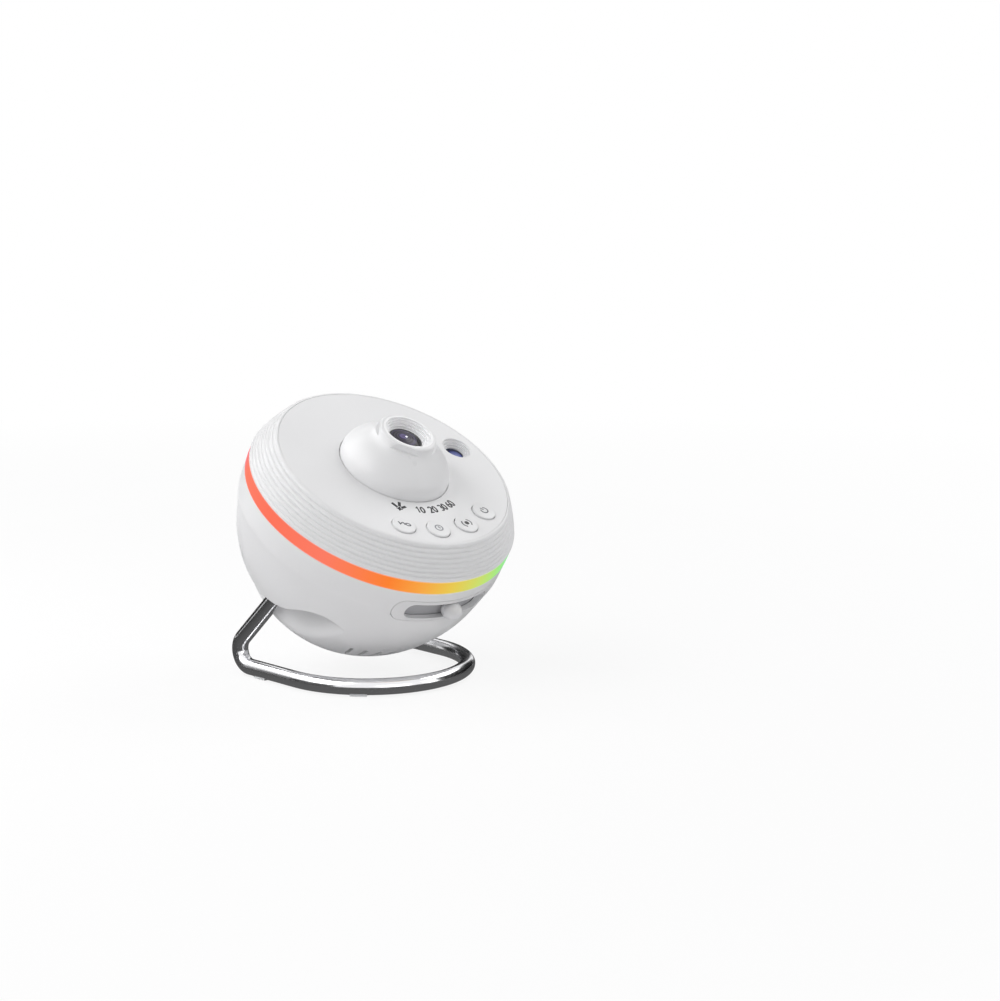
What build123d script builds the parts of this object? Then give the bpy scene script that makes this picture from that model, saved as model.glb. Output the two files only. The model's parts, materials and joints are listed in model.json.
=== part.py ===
"""Planetarium projector: a ball-shaped housing that tilts on a bent wire stand.

Millimetres.  The ball's pieces are built in the ball's own frame, with Z along its polar
axis and Z = 0 at the seam on top of the lower shell, and are then tilted about the pivot
pins.  Directions round the ball are given from its front (-Y), positive towards +X.
"""
import os
from math import atan, cos, degrees, pi, radians, sin, sqrt, tan

from build123d import *

# ---- housing -----------------------------------------------------------------------
BALL_R = 67.5            # outer radius of the housing at the seam
BALL_C = 77.8            # depth of the lower shell below the seam
WALL = 2.4               # moulded wall of both shells
SPHEROID_POINTS = 8      # points that the lower shell's outline runs through
GAP = 0.3                # clearance between pieces that don't touch
RUN = 0.05               # radial clearance of a running fit
TILT = 30.5              # forward tilt of the polar axis as it stands, degrees
UNDERSIDE = 6.0          # height of the upright ball's underside above the table
OVER = 1.0               # how far cutting shapes reach past the faces that they cut

# ---- light band --------------------------------------------------------------------
BAND_H = 7.1             # height of the glowing band between the shells
BAND_PROUD = 0.2         # how far the band stands out of the shells
BAND_T = 5.0             # radial thickness of the diffuser
STRIP_T = 0.8            # thickness of the ring-shaped light board
STRIP_AIR = 3.0          # air between light board and diffuser
FLANGE_IN = 1.2          # how far the shells' flanges reach inside the light board
LED_COUNT = 24
LED_W = 3.0
LED_T = 1.4

# ---- ribbed upper shell ------------------------------------------------------------
RIM_R = 58.9             # outer radius of the shell at its top
RIM_Z = 23.5             # height of the flat top above the seam
RIB_COUNT = 8
RIB_BULGE = 0.6          # how far each rib swells out of the line between its grooves
SHELL_BOW = 0.5          # bow of the ribbed wall between seam and rim
RIM_LIP = 0.5            # flat width of the lip round the cover

# ---- flat top cover ----------------------------------------------------------------
COVER_T = 2.2
COVER_FIT = 0.06         # clearance of the cover in the shell's rim
COVER_EDGE = 0.15        # chamfer of the cover's edge
LEDGE_W = 2.0            # ledge of the upper shell that carries the cover
CLIP_COUNT = 6
CLIP_ARC = 8.0           # degrees of each snap clip
CLIP_T = 1.0
CLIP_END = 1.2           # length of each clip below the ledge
BARB = 1.0

# ---- lens dome ---------------------------------------------------------------------
DOME_R = 27.4            # radius of the dome's foot
DOME_SEAT = 1.0          # depth of the seat sunk in the cover
DOME_SEAM = 0.45         # open line round the foot
DOME_H = 21.0            # height of the dome above the cover
DOME_T = 1.8
DOME_SEAT_W = 3.0        # width of the cover's seat under the dome's foot
DOME_FOOT_H = 0.9        # upright foot of the dome above the cover
DOME_LIP_H = 1.3         # height of the rounding at the dome's lip
DOME_LEAN = 0.28         # inward lean of the wall at the neck
DOME_LIP = 0.3           # flat share of the lip between funnel and neck
DOME_NECK_R = 14.6       # radius just below the dome's lip
DOME_WAIST = (19.2, 13.7)    # a point of the outline: radius, height above the cover
DOME_SHOULDER = (24.9, 8.0)  # a point of the outline: radius, height above the cover
NOTCH_COUNT = 4
NOTCH_FIRST = -42.0      # direction of the first notch
NOTCH_DEPTH = 3.4        # floor of the notches below the lip
NOTCH_FLAT = 13.6        # distance of the notches' flat walls from the axis
SKIRT_T = 1.6            # skirt of the dome that drops through the cover
SKIRT_DROP = 2.4
LUG_COUNT = 3            # bayonet lugs of the dome
LUG_ARC = 30.0
LUG_FREE = 4.0           # degrees that the cover's lug slots are longer

# ---- stepped funnel in the dome's mouth --------------------------------------------
FUNNEL_R = 12.6
FUNNEL_BORE = 8.4
FUNNEL_H = 6.5
FUNNEL_STEPS = 4
FUNNEL_DEPTH = 4.6
FUNNEL_LIP = 1.1

# ---- projection lens and its focus drive -------------------------------------------
NOSE_R = 8.0             # black nose of the barrel behind the funnel
NOSE_TOP = 40.2          # where the nose ends, above the seam
LENS_R = 7.4
LENS_SEAT = 0.9          # width of the seat under the front lens
LENS_RISE = 1.3          # crown of the front lens above the nose
LENS_T = 2.2
BARREL_R = 10.9
BARREL_T = 1.6
BARREL_TOP = 33.0
BARREL_END = -17.0
REAR_LENS_T = 3.0
REAR_SEAT = 1.0          # width and height of the seat under the rear lens
TUBE_T = 2.0             # wall of the fixed tube round the barrel
TUBE_TOP = 24.0
FOCUS_Z = -11.5          # height of the focus lever below the seam
FOCUS_RING_T = 3.4
FOCUS_RING_H = 8.0
FOCUS_SWING = 17.5       # swing of the lever to either side, degrees
FOCUS_TRAVEL = 1.5       # travel of the lens to either side
PIN_R = 1.2              # cam pins of the barrel
PIN_COUNT = 3
CLIP_RING_H = 1.0
CLIP_RING_W = 1.4
CLIP_GROOVE = 0.8        # depth of the retaining ring's groove
CLIP_OPEN = 30.0         # degrees that the retaining ring is open
ARM_W = 5.0
ARM_T = 3.0
TIP_W = 3.4              # lever's tip inside the knob
TIP_T = 2.0
KNOB = (5.2, 5.2, 4.3)   # half sizes of the domed knob: along the slot, outwards, upwards
KNOB_PROUD = 5.2         # how far the knob stands out of the ball
SLOT_ARC = 22.3          # half length of the knob's recess, degrees
SLOT_H = 9.3             # height of the recess
SLOT_DEPTH = 4.6
SHUTTER_T = 1.2          # curved strip that closes the recess behind the knob
SHUTTER_LAP = 0.3        # how far the strip reaches past the recess, above and below
SHUTTER_END = 1.5        # degrees of strip left past the recess at full swing
BEZEL_RIM = 1.9          # rim above and below the recess
BEZEL_END = 6.6          # rim beyond the recess's ends
BEZEL_LIP = 1.5          # flange of the bezel behind the wall
SEAM = 0.2               # open line round the bezel

# ---- rotating picture disc ---------------------------------------------------------
FILM_R = 13.4
FILM_T = 0.8
FILM_Z = -24.0           # underside of the picture disc
MODULE = 0.8
ADDENDUM = 0.9           # tooth above and below the pitch circle, in modules
DEDENDUM = 1.2
PRESSURE_ANGLE = 20.0
GEAR_TEETH = 50
PINION_TEETH = 12
GEAR_H = 3.0
COLLAR_R = 12.4          # collar that the gear turns on
COLLAR_LIP = 2.4         # step under the gear, round the collar
LIGHT_R = 10.5           # light path through the lower pieces
MOTOR_R = 7.5
MOTOR_EDGE = 0.6
MOTOR_END_H = 1.0        # round end of the motor
MOTOR_TAB = (1.8, 0.6, 1.6)  # two solder tags: width, thickness, length
SHAFT_R = 1.0
SHAFT_SINK = 3.0         # how far the pinion's shaft enters the motor
CUP_T = 1.6              # wall of the cup over the gear
CUP_AIR = 0.9            # air round the gear
CUP_HEAD = 1.5           # air above the picture disc
CUP_EARS = (45.0, 135.0, 225.0, 315.0)
CUP_EAR_R = 3.2
MOTOR_H = 10.0

# ---- lamp --------------------------------------------------------------------------
STAGE_T = 1.6            # plate under the gear
STAGE_Z = -27.4          # its upper face
CHASSIS_Z = -41.0        # upper face of the chassis plate
CHASSIS_T = 2.0
CHASSIS_EDGE = 6.5       # from the posts to the chassis plate's edges
POST_X = 20.0            # four posts that carry the chassis, from the middle
POST_IN = 30.5           # and from the ball's outside
POST_R = 3.4
POST_HOLE = 7.0          # depth of the posts' screw holes
LAMP_R = 14.4
LAMP_T = 1.8
CONDENSER_T = 3.4
CONDENSER_DROP = 5.0     # from the stage down to the condenser's seat
CONDENSER_SEAT = 1.2     # width and height of that seat
EMITTER_R = 3.0
EMITTER_BASE = 0.6
EMITTER_RISE = 1.4
STAR_R = 9.8             # small round board of the lamp
STAR_T = 1.6
STAR_POINTS = 6          # screw notches round it
STAR_BITE = 2.4          # how far its screws enter the heat sink
SINK_R = 22.0
SINK_BASE = 3.2
SINK_FIN_H = 12.0
FIN_COUNT = 11
FIN_T = 1.4
SPACER_COUNT = 3         # spacers between sink and chassis
SPACER_R = 2.6
SPACER_IN = 1.0          # from the sink's edge to the spacers

# ---- shooting-star projector -------------------------------------------------------
METEOR_IN = 12.1         # from the rim to its axis
METEOR_AZ = 98.0         # direction of its axis
METEOR_LENS_R = 4.8
METEOR_WELL_R = 7.6
METEOR_WELL_D = 3.3
METEOR_SEAT = 0.7        # width of the lens's seat
METEOR_FLANGE = 1.4      # thickness of the lens's flange
METEOR_STEPS = 3
METEOR_T = 1.4
LASER_BOARD_T = 1.2      # board that closes the tube
LASER_R = 2.8            # and its laser emitter
LASER_H = 3.0

# ---- buttons and main board --------------------------------------------------------
BUTTON_COUNT = 4
BUTTON_STEP = 21.2       # degrees from one button to the next
BUTTON_IN = 10.5         # from the rim to the buttons' axes
BUTTON_R = 5.8
BUTTON_EDGE = 0.45       # rounded edge of the buttons
BUTTON_GAP = 0.3
BUTTON_PROUD = 0.9
BUTTON_DISH = 0.35       # how much the cap's centre stands above its edge
BUTTON_TRAVEL = 0.6
FLANGE_W = 0.9
FLANGE_T = 1.2
STEM_R = 1.6
STEM_SINK = 1.4          # how far the stems enter their switches
SWITCH_W = 6.0
SWITCH_H = 3.5
BOARD_IN = 0.7           # from the cover's clips to the main board
BOARD_OUT = 3.1          # from the dome's foot to the board's hole
BOARD_T = 1.6
BOARD_DROP = 7.3         # from the cover's underside to the board's upper face
# direction, length, width and height of the controller, driver, two headers and a coil
CHIPS = ((180.0, 12.0, 12.0, 1.6), (200.0, 7.0, 5.0, 1.6), (128.0, 9.0, 4.5, 4.6),
         (222.0, 9.0, 4.5, 4.6), (250.0, 6.5, 6.5, 3.0))
CAPACITOR_AZ = (165.0, 270.0)
CAPACITOR_R = 3.0
CAPACITOR_H = 5.5
BOSS_R = 2.4
BOSS_OUT = 9.0           # from the dome's foot to the two inner bosses
BOSS_IN = 8.5            # from the rim to the four outer bosses
BOSS_FRONT = 47.0        # directions of the outer bosses
BOSS_BACK = 150.0

# ---- power socket ------------------------------------------------------------------
SOCKET_Z = -14.0
SOCKET_W = 9.0
SOCKET_H = 3.3
SOCKET_L = 7.4
SOCKET_SKIN = 0.35
SOCKET_BACK = 1.0        # closed back of the socket
TONGUE_W = 6.7
PORT_SINK = 1.0          # depth of the recess round the socket
RAIL_W = 3.0             # two rails that carry the socket's board
PORT_W = 12.4
PORT_H = 6.6
USB_BOARD_W = 16.0
USB_BOARD_L = 13.0
USB_BOARD_T = 1.2

# ---- bottom cap and vents ----------------------------------------------------------
CAP_R = 30.0
CAP_LEDGE = 5.6          # ledge of the shell that carries the cap
CAP_SCREW_COUNT = 4
CAP_VENTS = 16
CAP_VENT_IN = 13.0
CAP_VENT_OUT = 22.5
VENT_W = 1.8
VENT_STEP = 8.2          # degrees from one side vent to the next
VENT_SIDE = 4            # side vents to either side of front and back
VENT_RIM = 15.5          # from the ball's outside in to the side vents
VENT_L = 10.0            # length of the side vents

# ---- screws ------------------------------------------------------------------------
SCREW_R = 1.25
SCREW_HEAD_R = 2.4
SCREW_SMALL_R = 2.2      # smaller heads under the chassis, beside the heat sink
SCREW_HEAD_H = 1.6
SCREW_BITE = 4.0         # how far screws enter what they hold
CROSS_W = 0.6            # cross recess of the screws
EAR_IN = 4.5             # from the flanges in to the case screws
EAR_R = 4.2
EAR_AT = (38.0, 142.0, 218.0, 322.0)
PILLAR_R = 3.0           # round pillars of the upper shell between the ears

# ---- leg pockets and pivots --------------------------------------------------------
POCKET_GAP = 0.6         # from the legs to the pockets' inner walls
POCKET_FREE = 3.4        # from the legs to the pockets' outer walls
POCKET_WALL = 12.4       # height of the inner walls at the pockets' front and back ends
POCKET_BEND = 25.5       # rounding of the pockets' outer walls towards front and back
POCKET_SOFT = 8.0        # rounded lower edge of the pockets' inner walls
POCKET_TOP = -20.5       # roof of the pockets
PIVOT_Y = -9.0           # pivot axis in the ball's frame
PIVOT_Z = -28.0
HUB_R = 10.0             # round well in which the leg's end turns inwards
HUB_DEPTH = 5.2          # depth of the wells
BUSH_T = 2.5
BUSH_L = 7.7
BUSH_RIM = 1.4           # from the wells' walls to the bushes' flanges
BUSH_FLANGE = 1.2
WASHER_R = 7.4
WASHER_T = 1.0
CLIP_T_PIN = 1.0
CLIP_R = 6.4
PIN_GROOVE = 0.8
PIN_TAIL = 2.0

# ---- wire stand --------------------------------------------------------------------
ROD_R = 4.0
ARM_X = 47.5             # half distance between the two arms
ARM_BACK = 55.3          # from the pivot back to the corner where arm and leg meet
HEEL_R = 8.0             # bend between arm and leg
ELBOW_R = 8.0            # bend between leg and pivot pin
PAD_H = 0.4              # clear rubber under the rod
PAD_W = 4.0
PAD_L = 8.0
PAD_GRIP = 0.5           # how far the pads reach up the rod
PAD_ARM_Y = 26.0         # place of the rear pads behind the pivot
PAD_BOW = 48.0           # direction of the front pads from straight ahead

C_MIN = (Align.CENTER, Align.CENTER, Align.MIN)


# ---- helpers -----------------------------------------------------------------------
def around(radius, azimuth, z=0.0):
    """Place on the ball: at a radius and a direction, turned so that local -Y looks out."""
    return Rot(0, 0, azimuth) * Pos(0, -radius, z)


def rod_z(radius, z0, z1):
    return Pos(0, 0, z0) * Cylinder(radius, z1 - z0, align=C_MIN)


def ring_z(outer, inner, z0, z1):
    return rod_z(outer, z0, z1) - rod_z(inner, z0 - OVER, z1 + OVER)


def block(x0, x1, y0, y1, z0, z1):
    centre = Pos((x0 + x1) / 2, (y0 + y1) / 2, (z0 + z1) / 2)
    return centre * Box(x1 - x0, y1 - y0, z1 - z0)


def rod_x(radius, x0, x1, y=0.0, z=0.0):
    """Round bar along X between x0 and x1."""
    lo, hi = min(x0, x1), max(x0, x1)
    return Pos(lo, y, z) * Rot(0, 90, 0) * Cylinder(radius, hi - lo, align=C_MIN)


def turned(*edges, arc=360.0):
    """Solid of revolution about Z from a closed outline in the XZ plane."""
    return revolve(make_face(list(edges)), Axis.Z, revolution_arc=arc)


def outline(*points):
    """Closed outline of straight lines through (radius, height) points."""
    spots = [(r, 0, z) for r, z in points]
    return [Line(a, b) for a, b in zip(spots, spots[1:] + spots[:1])]


def half_spheroid(radius, depth):
    """Lower half of a spheroid; its outline is a smooth curve through points of the ellipse."""
    turns = [radians(90 * i / SPHEROID_POINTS) for i in range(SPHEROID_POINTS + 1)]
    spots = [(radius * sin(t), 0, -depth * cos(t)) for t in turns]
    flow = Spline(*spots, tangents=[(1, 0, 0), (0, 0, 1)])
    return turned(flow, Line((radius, 0, 0), (0, 0, 0)), Line((0, 0, 0), (0, 0, -depth)))


def crown(radius, z, rise):
    """Arc from a rim in to the axis, centred on the axis."""
    ball = (radius ** 2 + rise ** 2) / (2 * rise)
    half = atan(rise / radius)
    middle = (ball * sin(half), 0, z + rise - ball + ball * cos(half))
    return ThreePointArc((radius, 0, z), middle, (0, 0, z + rise))


def sector(outer, inner, z0, z1, azimuth, arc):
    """Piece of a ring centred on a direction."""
    piece = turned(*outline((inner, z0), (outer, z0), (outer, z1), (inner, z1)), arc=arc)
    return Rot(0, 0, azimuth - 90 - arc / 2) * piece


def screw(length, head_r=SCREW_HEAD_R):
    """Pan-head screw: head above Z = 0, shank below, with a cross recess."""
    body = rod_z(SCREW_R, -length, 0) + rod_z(head_r, 0, SCREW_HEAD_H)
    cross = Box(head_r, CROSS_W, SCREW_HEAD_H) + Box(CROSS_W, head_r, SCREW_HEAD_H)
    return body - Pos(0, 0, SCREW_HEAD_H) * cross


def group(pieces):
    """Separate solids kept together as one node."""
    return Compound([solid for piece in pieces for solid in piece.solids()])


def placed(place, shape):
    return group(place * solid for solid in shape.solids())


def ball_surface_r(z):
    """Radius of the lower shell's outside at a height."""
    return BALL_R * sqrt(1 - (z / BALL_C) ** 2)


def ball_surface_z(radius):
    """Height of the lower shell's outside at a radius."""
    return -BALL_C * sqrt(1 - (radius / BALL_R) ** 2)


# ---- values worked out from the driving dimensions ---------------------------------
INNER_R = BALL_R - WALL
INNER_C = BALL_C - WALL
BAND_R = BALL_R + BAND_PROUD
STRIP_R = BAND_R - BAND_T - STRIP_AIR
FLANGE_R = STRIP_R - STRIP_T - FLANGE_IN
EAR_RING = FLANGE_R - EAR_IN
COVER_R = RIM_R - RIM_LIP - COVER_FIT
COVER_Z = RIM_Z - COVER_T
LEDGE_R = RIM_R - RIM_LIP - LEDGE_W
BOARD_R = LEDGE_R - GAP - CLIP_T - BOARD_IN
BOARD_HOLE = DOME_R + BOARD_OUT
CHIP_RING = (BOARD_R + BOARD_HOLE) / 2
BUTTON_RING = RIM_R - BUTTON_IN
TUBE_IN = BARREL_R + RUN
TUBE_R = TUBE_IN + TUBE_T
FOCUS_R = TUBE_R + RUN + FOCUS_RING_T
GEAR_PITCH_R = MODULE * GEAR_TEETH / 2
PINION_PITCH_R = MODULE * PINION_TEETH / 2
GEAR_AXIS = GEAR_PITCH_R + PINION_PITCH_R
CUP_IN = GEAR_PITCH_R + MODULE + CUP_AIR
CUP_R = CUP_IN + CUP_T
GEAR_Z = FILM_Z - GEAR_H
BOARD_Z = COVER_Z - BOARD_DROP
STAGE_LOW = STAGE_Z - STAGE_T
CHASSIS_LOW = CHASSIS_Z - CHASSIS_T
CONDENSER_Z = STAGE_LOW - CONDENSER_DROP
SLOT_FLOOR_R = BALL_R - SLOT_DEPTH
BEZEL_IN = SLOT_FLOOR_R + GAP
BEZEL_H = SLOT_H + 2 * BEZEL_RIM
BEZEL_ARC = SLOT_ARC + degrees(BEZEL_END / BALL_R)
LEVER_R = sqrt((SLOT_FLOOR_R - SHUTTER_T) ** 2 - (ARM_W / 2) ** 2)
TIP_END = (SLOT_FLOOR_R + BALL_R + KNOB_PROUD) / 2
SEAM_ARC = degrees(SEAM / BALL_R)
KNOB_Y = BALL_R + KNOB_PROUD - KNOB[1]
CAP_SEAT = ball_surface_z(CAP_R) + WALL
CAP_SINK = ball_surface_z(CAP_R) + SCREW_HEAD_H
CASE_SCREW_L = WALL * 2.5
CAP_RING = CAP_R - CAP_LEDGE / 2
CAP_SCREWS = [around(CAP_RING, 360 / CAP_SCREW_COUNT * (i + 0.5)) for i in range(CAP_SCREW_COUNT)]
PORT_FACE = ball_surface_r(SOCKET_Z) - PORT_SINK
USB_BOARD_Z = SOCKET_Z - SOCKET_H / 2
DOME_BORE = DOME_R - DOME_SEAT_W
DOME_FOOT_Z = RIM_Z - DOME_SEAT
DOME_TOP = RIM_Z + DOME_H
FUNNEL_LOW = DOME_TOP - FUNNEL_H
CUP_ROOF = FILM_Z + FILM_T + CUP_HEAD
STAR_LOW = CHASSIS_LOW - STAR_T
STAR_SPOTS = [around(STAR_R, 360 / STAR_POINTS * i) for i in range(1, STAR_POINTS, 2)]
SINK_LOW = STAR_LOW - SINK_BASE
EAR_OUT = CUP_R + SCREW_HEAD_R + GAP
EAR_SPOTS = [around(EAR_OUT, azimuth) for azimuth in CUP_EARS]
SPACER_RING = SINK_R - SPACER_R - SPACER_IN
SINK_SPOTS = [around(SPACER_RING, 360 / SPACER_COUNT * i) for i in range(SPACER_COUNT)]
POST_Y = BALL_R - POST_IN
POSTS = [Pos(x, y, 0) for x in (POST_X, -POST_X) for y in (POST_Y, -POST_Y)]
METEOR_LENS_Z = RIM_Z - METEOR_WELL_D
METEOR_LOW = BAND_H + WALL + LASER_BOARD_T + GAP
METEOR_LOC = around(RIM_R - METEOR_IN, METEOR_AZ)
METEOR_BORE = METEOR_LENS_R + METEOR_SEAT
BUTTON_AZ = [BUTTON_STEP * (i - (BUTTON_COUNT - 1) / 2) for i in range(BUTTON_COUNT)]
BOSS_SPOTS = [around(DOME_R + BOSS_OUT, side * BUTTON_STEP) for side in (1, -1)]
for azimuth in (BOSS_FRONT, -BOSS_FRONT, BOSS_BACK, -BOSS_BACK):
    BOSS_SPOTS.append(around(RIM_R - BOSS_IN, azimuth))
SWITCH_TOP = BOARD_Z + SWITCH_H
VENT_OUT = BALL_R - VENT_RIM
POCKET_IN = ARM_X - ROD_R - POCKET_GAP
POCKET_OUT = ARM_X + ROD_R + POCKET_FREE
CORNER_Y = sqrt(ball_surface_r(POCKET_TOP - POCKET_WALL) ** 2 - POCKET_IN ** 2)
CORNER_X = POCKET_IN - POCKET_OUT + POCKET_BEND
POCKET_END = CORNER_Y + POCKET_BEND - sqrt(POCKET_BEND ** 2 - CORNER_X ** 2)
HUB_FLOOR = POCKET_IN - HUB_DEPTH
BUSH_END = HUB_FLOOR - BUSH_L
CLIP_OUT = BUSH_END - WASHER_T - GAP
PIVOT_H = BALL_C + PIVOT_Z + UNDERSIDE
BALL_PLACE = Pos(0, 0, PIVOT_H) * Rot(TILT, 0, 0) * Pos(0, -PIVOT_Y, -PIVOT_Z)


# ---- stand -------------------------------------------------------------------------
def stand_rod():
    """One bent rod: pivot pin, leg, heel, arm, half-round bow, and the same again."""
    low = PAD_H + ROD_R
    pin_end = CLIP_OUT - CLIP_T_PIN - PIN_TAIL
    sides = []
    for side in (1, -1):
        spots = [(side * pin_end, 0, PIVOT_H), (side * ARM_X, 0, PIVOT_H),
                 (side * ARM_X, ARM_BACK, low), (side * ARM_X, 0, low)]
        sides.append(FilletPolyline(*spots, radius=(ELBOW_R, HEEL_R)))
    bow = ThreePointArc((ARM_X, 0, low), (0, -ARM_X, low), (-ARM_X, 0, low))
    path = Wire(sides[0].edges() + [bow] + sides[1].edges())
    start = Plane(origin=(pin_end, 0, PIVOT_H), z_dir=(1, 0, 0))
    return path, sweep(start * Circle(ROD_R), path=path)


def stand():
    """The bent rod with a groove near the end of each pivot pin."""
    rod = stand_rod()[1]
    for side in (1, -1):
        rod -= pin_ring(side, ROD_R + OVER, ROD_R - PIN_GROOVE, CLIP_OUT - CLIP_T_PIN, CLIP_OUT)
    return rod


def pin_ring(side, outer, inner, x0, x1):
    """Flat ring on one pivot pin."""
    piece = rod_x(outer, side * x0, side * x1, 0, PIVOT_H)
    return piece - rod_x(inner, side * (x0 - OVER), side * (x1 + OVER), 0, PIVOT_H)


def pivot_clips():
    """Split retaining rings in the pins' grooves, open towards the front."""
    mouth = ROD_R - PIN_GROOVE
    slot = block(-BALL_R, BALL_R, -CLIP_R - OVER, 0, PIVOT_H - mouth, PIVOT_H + mouth)
    x0, x1 = CLIP_OUT - CLIP_T_PIN + RUN, CLIP_OUT - RUN
    return group(pin_ring(side, CLIP_R, mouth + RUN, x0, x1) - slot for side in (1, -1))


def pivot_washers():
    """Spring washers that press the retaining rings away from the bushes."""
    end = CLIP_OUT + WASHER_T
    return group(pin_ring(side, WASHER_R, ROD_R + RUN, CLIP_OUT, end) for side in (1, -1))


def foot_pads():
    """Four rubber saddles under the rod: two on the bow and two on the arms."""
    high = PAD_H + PAD_GRIP
    section = Pos(0, high / 2) * Rectangle(PAD_W, high) - Pos(0, PAD_H + ROD_R) * Circle(ROD_R)
    pads = []
    for side in (1, -1):
        bow = revolve(Plane.XZ * Pos(ARM_X, 0) * section, Axis.Z, revolution_arc=degrees(PAD_L / ARM_X))
        turn = -90 + side * PAD_BOW - degrees(PAD_L / ARM_X) / 2
        pads.append(Rot(0, 0, turn) * bow)
        arm = extrude(Plane.XZ * section, PAD_L / 2, both=True)
        pads.append(Pos(side * ARM_X, PAD_ARM_Y, 0) * arm)
    return group(pads)


# ---- lower shell -------------------------------------------------------------------
def pockets(grow):
    """Space of both leg pockets, or the room that their walls take up when grown."""
    x0, x1, end = POCKET_IN - grow, POCKET_OUT + grow, POCKET_END + grow
    whole = block(-x1, x1, -end, end, -BALL_C, POCKET_TOP + grow)
    whole = fillet(whole.edges().filter_by(Axis.Z), POCKET_BEND + grow)
    return whole - block(-x0, x0, -end, end, -BALL_C, POCKET_TOP + grow)


def hub(side, radius, x0, x1):
    return rod_x(radius, side * x0, side * x1, PIVOT_Y, PIVOT_Z)


def ball_skin():
    """Outside of the lower shell as one solid: the half ball with both leg pockets scooped out."""
    skin = half_spheroid(BALL_R, BALL_C) - pockets(0)
    soft = [edge for edge in skin.edges() if on_pocket_lip(edge)]
    return fillet(soft, POCKET_SOFT)


def on_pocket_lip(edge):
    """True for an edge where a pocket's inner wall meets the ball's outside."""
    spots = [edge @ share for share in (0, 0.5, 1)]
    flat = all(abs(abs(spot.X) - POCKET_IN) < RUN for spot in spots)
    middle = spots[1]
    return flat and abs(ball_surface_r(middle.Z) - sqrt(middle.X ** 2 + middle.Y ** 2)) < GAP


def stadium(arc, height, r_in, r_out):
    """Rounded slot in the front wall at the focus lever: half length in degrees, and height."""
    half = arc - degrees(height / 2 / BALL_R)
    low, high = FOCUS_Z - height / 2, FOCUS_Z + height / 2
    body = sector(r_out + OVER, r_in - OVER, low, high, 0, 2 * half)
    end = Pos(0, 0, FOCUS_Z) * Rot(90, 0, 0) * Cylinder(height / 2, r_out + OVER, align=C_MIN)
    for side in (1, -1):
        body += Rot(0, 0, side * half) * end
    return body & ring_z(r_out, r_in, low, high)


def side_vents():
    """Short slots through the lower wall, fanned to either side of front and back."""
    cuts = []
    low, high = ball_surface_z(0), ball_surface_z(VENT_OUT) + WALL
    for middle in (0, 180):
        for i in range(-VENT_SIDE, VENT_SIDE + 1):
            slot = block(-VENT_W / 2, VENT_W / 2, -VENT_OUT, VENT_L - VENT_OUT, low, high)
            cuts.append(Rot(0, 0, middle + i * VENT_STEP) * slot)
    return cuts


def shell_bosses():
    """What stands inside the lower shell: flange, screw ears, posts, pivot hubs and socket rails."""
    pieces = [ring_z(INNER_R + WALL / 2, FLANGE_R, -WALL, 0)]
    half = (INNER_R - EAR_RING) / 2
    for azimuth in EAR_AT:
        pieces.append(around(EAR_RING, azimuth) * rod_z(EAR_R, -WALL * 3, 0))
        pieces.append(around(EAR_RING + half, azimuth) * block(-EAR_R, EAR_R, -half, half, -WALL, 0))
    for spot in POSTS:
        pieces.append(spot * rod_z(POST_R, -BALL_C, CHASSIS_LOW))
    for side in (1, -1):
        pieces.append(hub(side, HUB_R + WALL, HUB_FLOOR - WALL, POCKET_IN))
        pieces.append(hub(side, ROD_R + BUSH_T + WALL, BUSH_END, HUB_FLOOR))
        centre = side * (USB_BOARD_W / 2 - RAIL_W / 2)
        pieces.append(block(centre - RAIL_W / 2, centre + RAIL_W / 2, PORT_FACE - USB_BOARD_L, BALL_R,
                            USB_BOARD_Z - USB_BOARD_T - RAIL_W, USB_BOARD_Z - USB_BOARD_T))
    pieces.append(ring_z(CAP_R + WALL, CAP_R - CAP_LEDGE, CAP_SEAT, CAP_SEAT + WALL))
    return pieces


def shell_cuts():
    """What is cut through the lower shell: pivots, screw holes, bezel, socket and vents."""
    cuts = side_vents()
    for side in (1, -1):
        cuts.append(hub(side, HUB_R, HUB_FLOOR, POCKET_IN + OVER))
        cuts.append(hub(side, ROD_R + BUSH_T, BUSH_END - OVER, HUB_FLOOR + OVER))
    for azimuth in EAR_AT:
        cuts.append(around(EAR_RING, azimuth) * rod_z(SCREW_R, -CASE_SCREW_L, OVER))
    for spot in POSTS:
        cuts.append(spot * rod_z(SCREW_R, CHASSIS_LOW - POST_HOLE, CHASSIS_LOW + OVER))
    cuts.append(stadium(BEZEL_ARC + SEAM_ARC, BEZEL_H + 2 * SEAM, FLANGE_R, BALL_R + OVER))
    cuts.append(block(-PORT_W / 2, PORT_W / 2, PORT_FACE, BALL_R + OVER,
                      SOCKET_Z - PORT_H / 2, SOCKET_Z + PORT_H / 2))
    cuts.append(block(-SOCKET_W / 2 - GAP, SOCKET_W / 2 + GAP, PORT_FACE - SOCKET_L, BALL_R,
                      SOCKET_Z - SOCKET_H / 2 - GAP, SOCKET_Z + SOCKET_H / 2 + GAP))
    cuts.append(rod_z(CAP_R + GAP, -BALL_C - OVER, CAP_SEAT))
    for spot in CAP_SCREWS:
        cuts.append(spot * rod_z(SCREW_R, CAP_SEAT - OVER, CAP_SEAT + WALL + OVER))
    return cuts


def lower_shell():
    """Deep half of the housing, with a pocket for each leg of the stand."""
    skin = ball_skin()
    shell = skin - (half_spheroid(INNER_R, INNER_C) - pockets(WALL))
    for boss in shell_bosses():
        shell += boss & skin
    for cut in shell_cuts():
        shell -= cut
    return shell


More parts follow.
